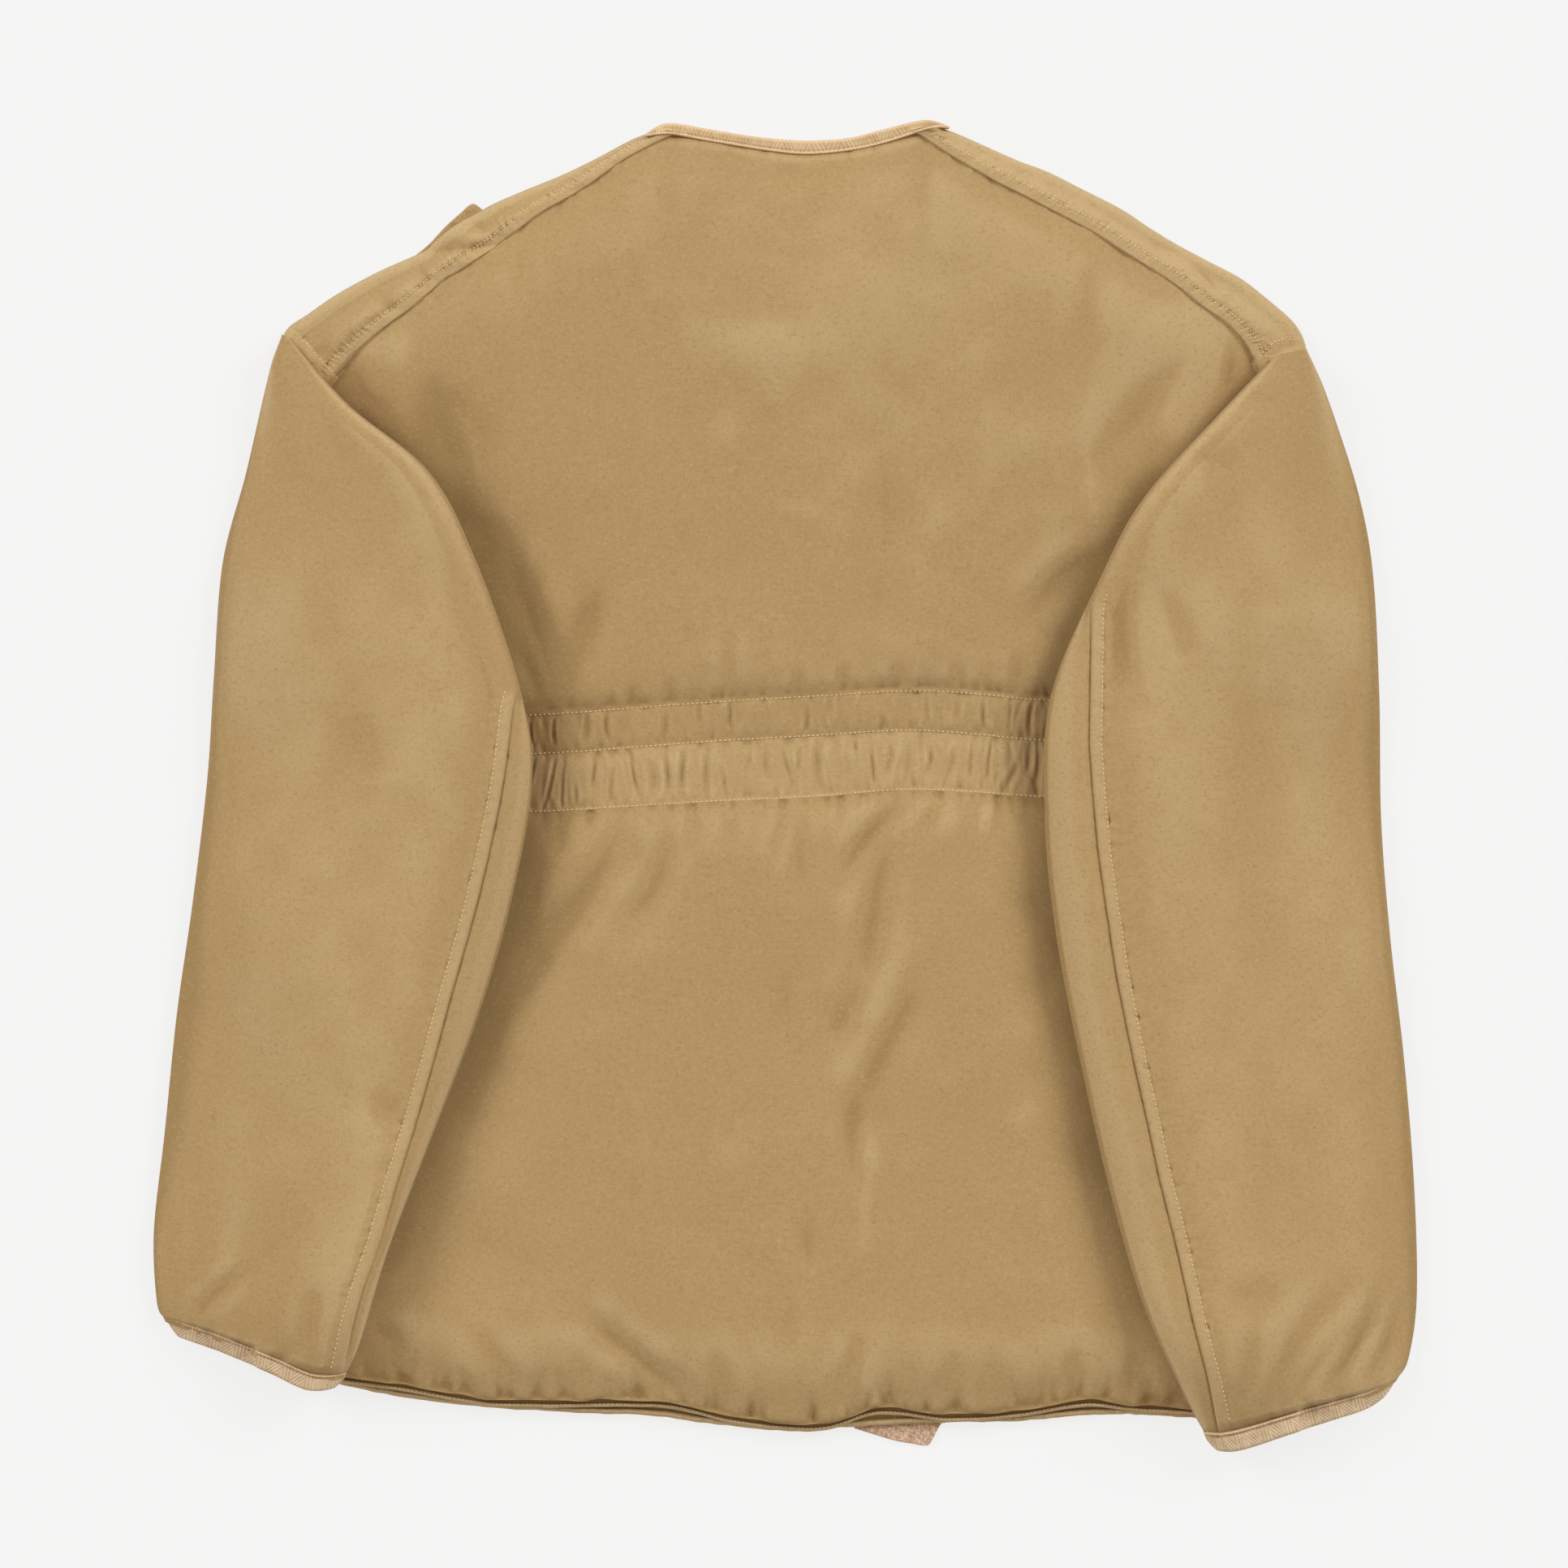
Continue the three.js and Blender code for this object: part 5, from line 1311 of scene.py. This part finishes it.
# %% Tape, thread and brushed tab
BLOCK, RIB = 0.007, 0.0019    # metres from turn to turn of the ribs, and from rib to rib
herringbone, start, end = new_group(
    "herringbone_tape", [("Along", NUMBER), ("Across", NUMBER), ("Light", COLOUR), ("Shade", COLOUR)],
    [("Color", COLOUR), ("Ribs", NUMBER)])
n = Nodes(herringbone)
block = n.math("SIGN", n.math("SINE", n.math("MULTIPLY", start.outputs["Along"], math.pi / BLOCK)))
lean = n.math("MULTIPLY", n.math("MULTIPLY", start.outputs["Across"], block), 0.35)
ribs = n.math("SINE", n.math("MULTIPLY", n.math("ADD", start.outputs["Along"], lean), 2 * math.pi / RIB))
ribs = n.math("ADD", n.math("MULTIPLY", ribs, 0.5), 0.5)
where = n.add("ShaderNodeTexCoord").outputs["Object"]
uneven = n.noise(where, 150.0, 3.0, 0.6)
mottle = n.math("MULTIPLY", n.ramp(uneven, 0.3, 0.7), 0.5)
share_light = n.math("ADD", n.math("MULTIPLY", ribs, 0.55), mottle, clamp=True)
worn_and_shaded = n.add("ShaderNodeAttribute", attribute_name="wear_and_shade").outputs["Fac"]
tape_colour = n.blend(share_light, start.outputs["Shade"], start.outputs["Light"])
tape_colour = n.blend(n.math("MULTIPLY", n.ramp(worn_and_shaded, 0.5, 1.3), 0.6), tape_colour, start.outputs["Light"])
tape_colour = n.blend(n.math("MULTIPLY", n.ramp(worn_and_shaded, -0.3, -1.0), 0.5), tape_colour, start.outputs["Shade"])
n.feed(end.inputs["Color"], tape_colour)
n.feed(end.inputs["Ribs"], n.math("ADD", ribs, n.math("MULTIPLY", n.noise(where, 1600.0, 1.0), 0.4)))


def tape_material(name, light_colour, shade):
    material, n, surface = new_material(name, 0.2)
    tape = n.add("ShaderNodeGroup", node_tree=herringbone)
    where = n.add("ShaderNodeUVMap", uv_map="along").outputs[0]
    split = n.add("ShaderNodeSeparateXYZ")
    n.feed(split.inputs[0], where)
    n.feed(tape.inputs["Along"], split.outputs[0])
    n.feed(tape.inputs["Across"], split.outputs[1])
    tape.inputs["Light"].default_value, tape.inputs["Shade"].default_value = (*light_colour, 1), (*shade, 1)
    n.feed(surface.inputs["Base Color"], tape.outputs["Color"])
    emboss(n, surface, tape.outputs["Ribs"], 0.5, 0.0005)
    surface.inputs["Roughness"].default_value = 0.9
    return material


neck_finish = tape_material("neck_herringbone", (0.82, 0.59, 0.35), (0.56, 0.37, 0.19))
cuff_finish = tape_material("cuff_herringbone", (0.79, 0.605, 0.40), (0.50, 0.35, 0.21))
corner_finish = tape_material("corner_herringbone", (0.58, 0.395, 0.185), (0.43, 0.28, 0.125))


def fuzzy_material(name, first, second, scale, strength):
    material, n, surface = new_material(name, 0.15)
    where = n.add("ShaderNodeTexCoord").outputs["Object"]
    nap = n.noise(where, scale, 3.0, 0.65)
    n.feed(surface.inputs["Base Color"], n.blend(n.ramp(nap, 0.36, 0.64), (*first, 1), (*second, 1)))
    emboss(n, surface, nap, strength, 0.0006)
    surface.inputs["Roughness"].default_value = 0.95
    return material


thread = fuzzy_material("cotton_thread", (0.74, 0.545, 0.30), (0.88, 0.69, 0.42), 1500.0, 0.3)
pale_thread = fuzzy_material("selvedge_thread", (0.78, 0.60, 0.38), (0.92, 0.78, 0.56), 1300.0, 0.3)
brushed = fuzzy_material("brushed_tape", (0.46, 0.275, 0.175), (0.80, 0.57, 0.41), 700.0, 0.7)


for material, pieces in (
    (shell, (back_upper, back_lower, channel, sleeve_left, sleeve_right, shoulder_left, shoulder_right,
             front_left, front_right)),
    (light, (casing, hem_back, hem_left, hem_right)), (neck_finish, (neck_tape,)), (corner_finish, (corner,)),
    (cuff_finish, (cuff_left, cuff_right)), (brushed, (edge_tab,)),
    (thread, (waist_stitches, seam_stitches)), (pale_thread, (tape_stitches,)),
):
    for piece in pieces:
        piece.data.materials.clear()
        piece.data.materials.append(material)
print("finishes:", len(bpy.data.materials))

# %% [markdown]
# The jacket is seen from straight above with a long lens. A pale surface that glows a little keeps its shadow
# faint, and two broad suns, from the upper left and the upper right, model the folds without hard edges.

# %% Camera, light and surface
bpy.ops.mesh.primitive_plane_add(size=14, location=(0, 0, -0.0005))
surface = bpy.context.object
surface.name = "pale_surface"
paper = bpy.data.materials.new("pale_paper")
paper.use_nodes = True
shader = paper.node_tree.nodes["Principled BSDF"]
shader.inputs["Base Color"].default_value = (0.12, 0.12, 0.12, 1)
shader.inputs["Roughness"].default_value = 1.0
shader.inputs["Specular IOR Level"].default_value = 0.0
shader.inputs["Emission Color"].default_value = (1, 1, 1, 1)
shader.inputs["Emission Strength"].default_value = 0.80
surface.data.materials.append(paper)

camera = bpy.data.objects.new("camera", bpy.data.cameras.new("camera"))
bpy.context.collection.objects.link(camera)
HEIGHT, FRAMED, SENSOR = 5.0, 0.8765, 36          # metres up, metres of floor in the frame, millimetres
camera.location = (SHIFT[0] * MM, SHIFT[1] * MM, HEIGHT)
camera.data.sensor_width = SENSOR
camera.data.lens = SENSOR * (HEIGHT - 0.02) / FRAMED
camera.data.clip_end = 100
bpy.context.scene.camera = camera

for name, energy, way in (("left_window", 1.37, (-0.76, 0.48, 0.56)), ("right_window", 1.52, (0.72, 0.52, 0.56))):
    sun = bpy.data.objects.new(name, bpy.data.lights.new(name, "SUN"))
    sun.data.energy = energy
    sun.data.angle = math.radians(26)
    sun.data.color = (1.0, 1.03, 1.06)
    sun.rotation_euler = Vector(way).to_track_quat("Z", "Y").to_euler()
    bpy.context.collection.objects.link(sun)
room = bpy.data.worlds.new("room")
room.use_nodes = True
room.node_tree.nodes["Background"].inputs["Color"].default_value = (1.0, 0.93, 0.83, 1)
room.node_tree.nodes["Background"].inputs["Strength"].default_value = 0.44
bpy.context.scene.world = room
bpy.context.scene.view_settings.view_transform = "Standard"
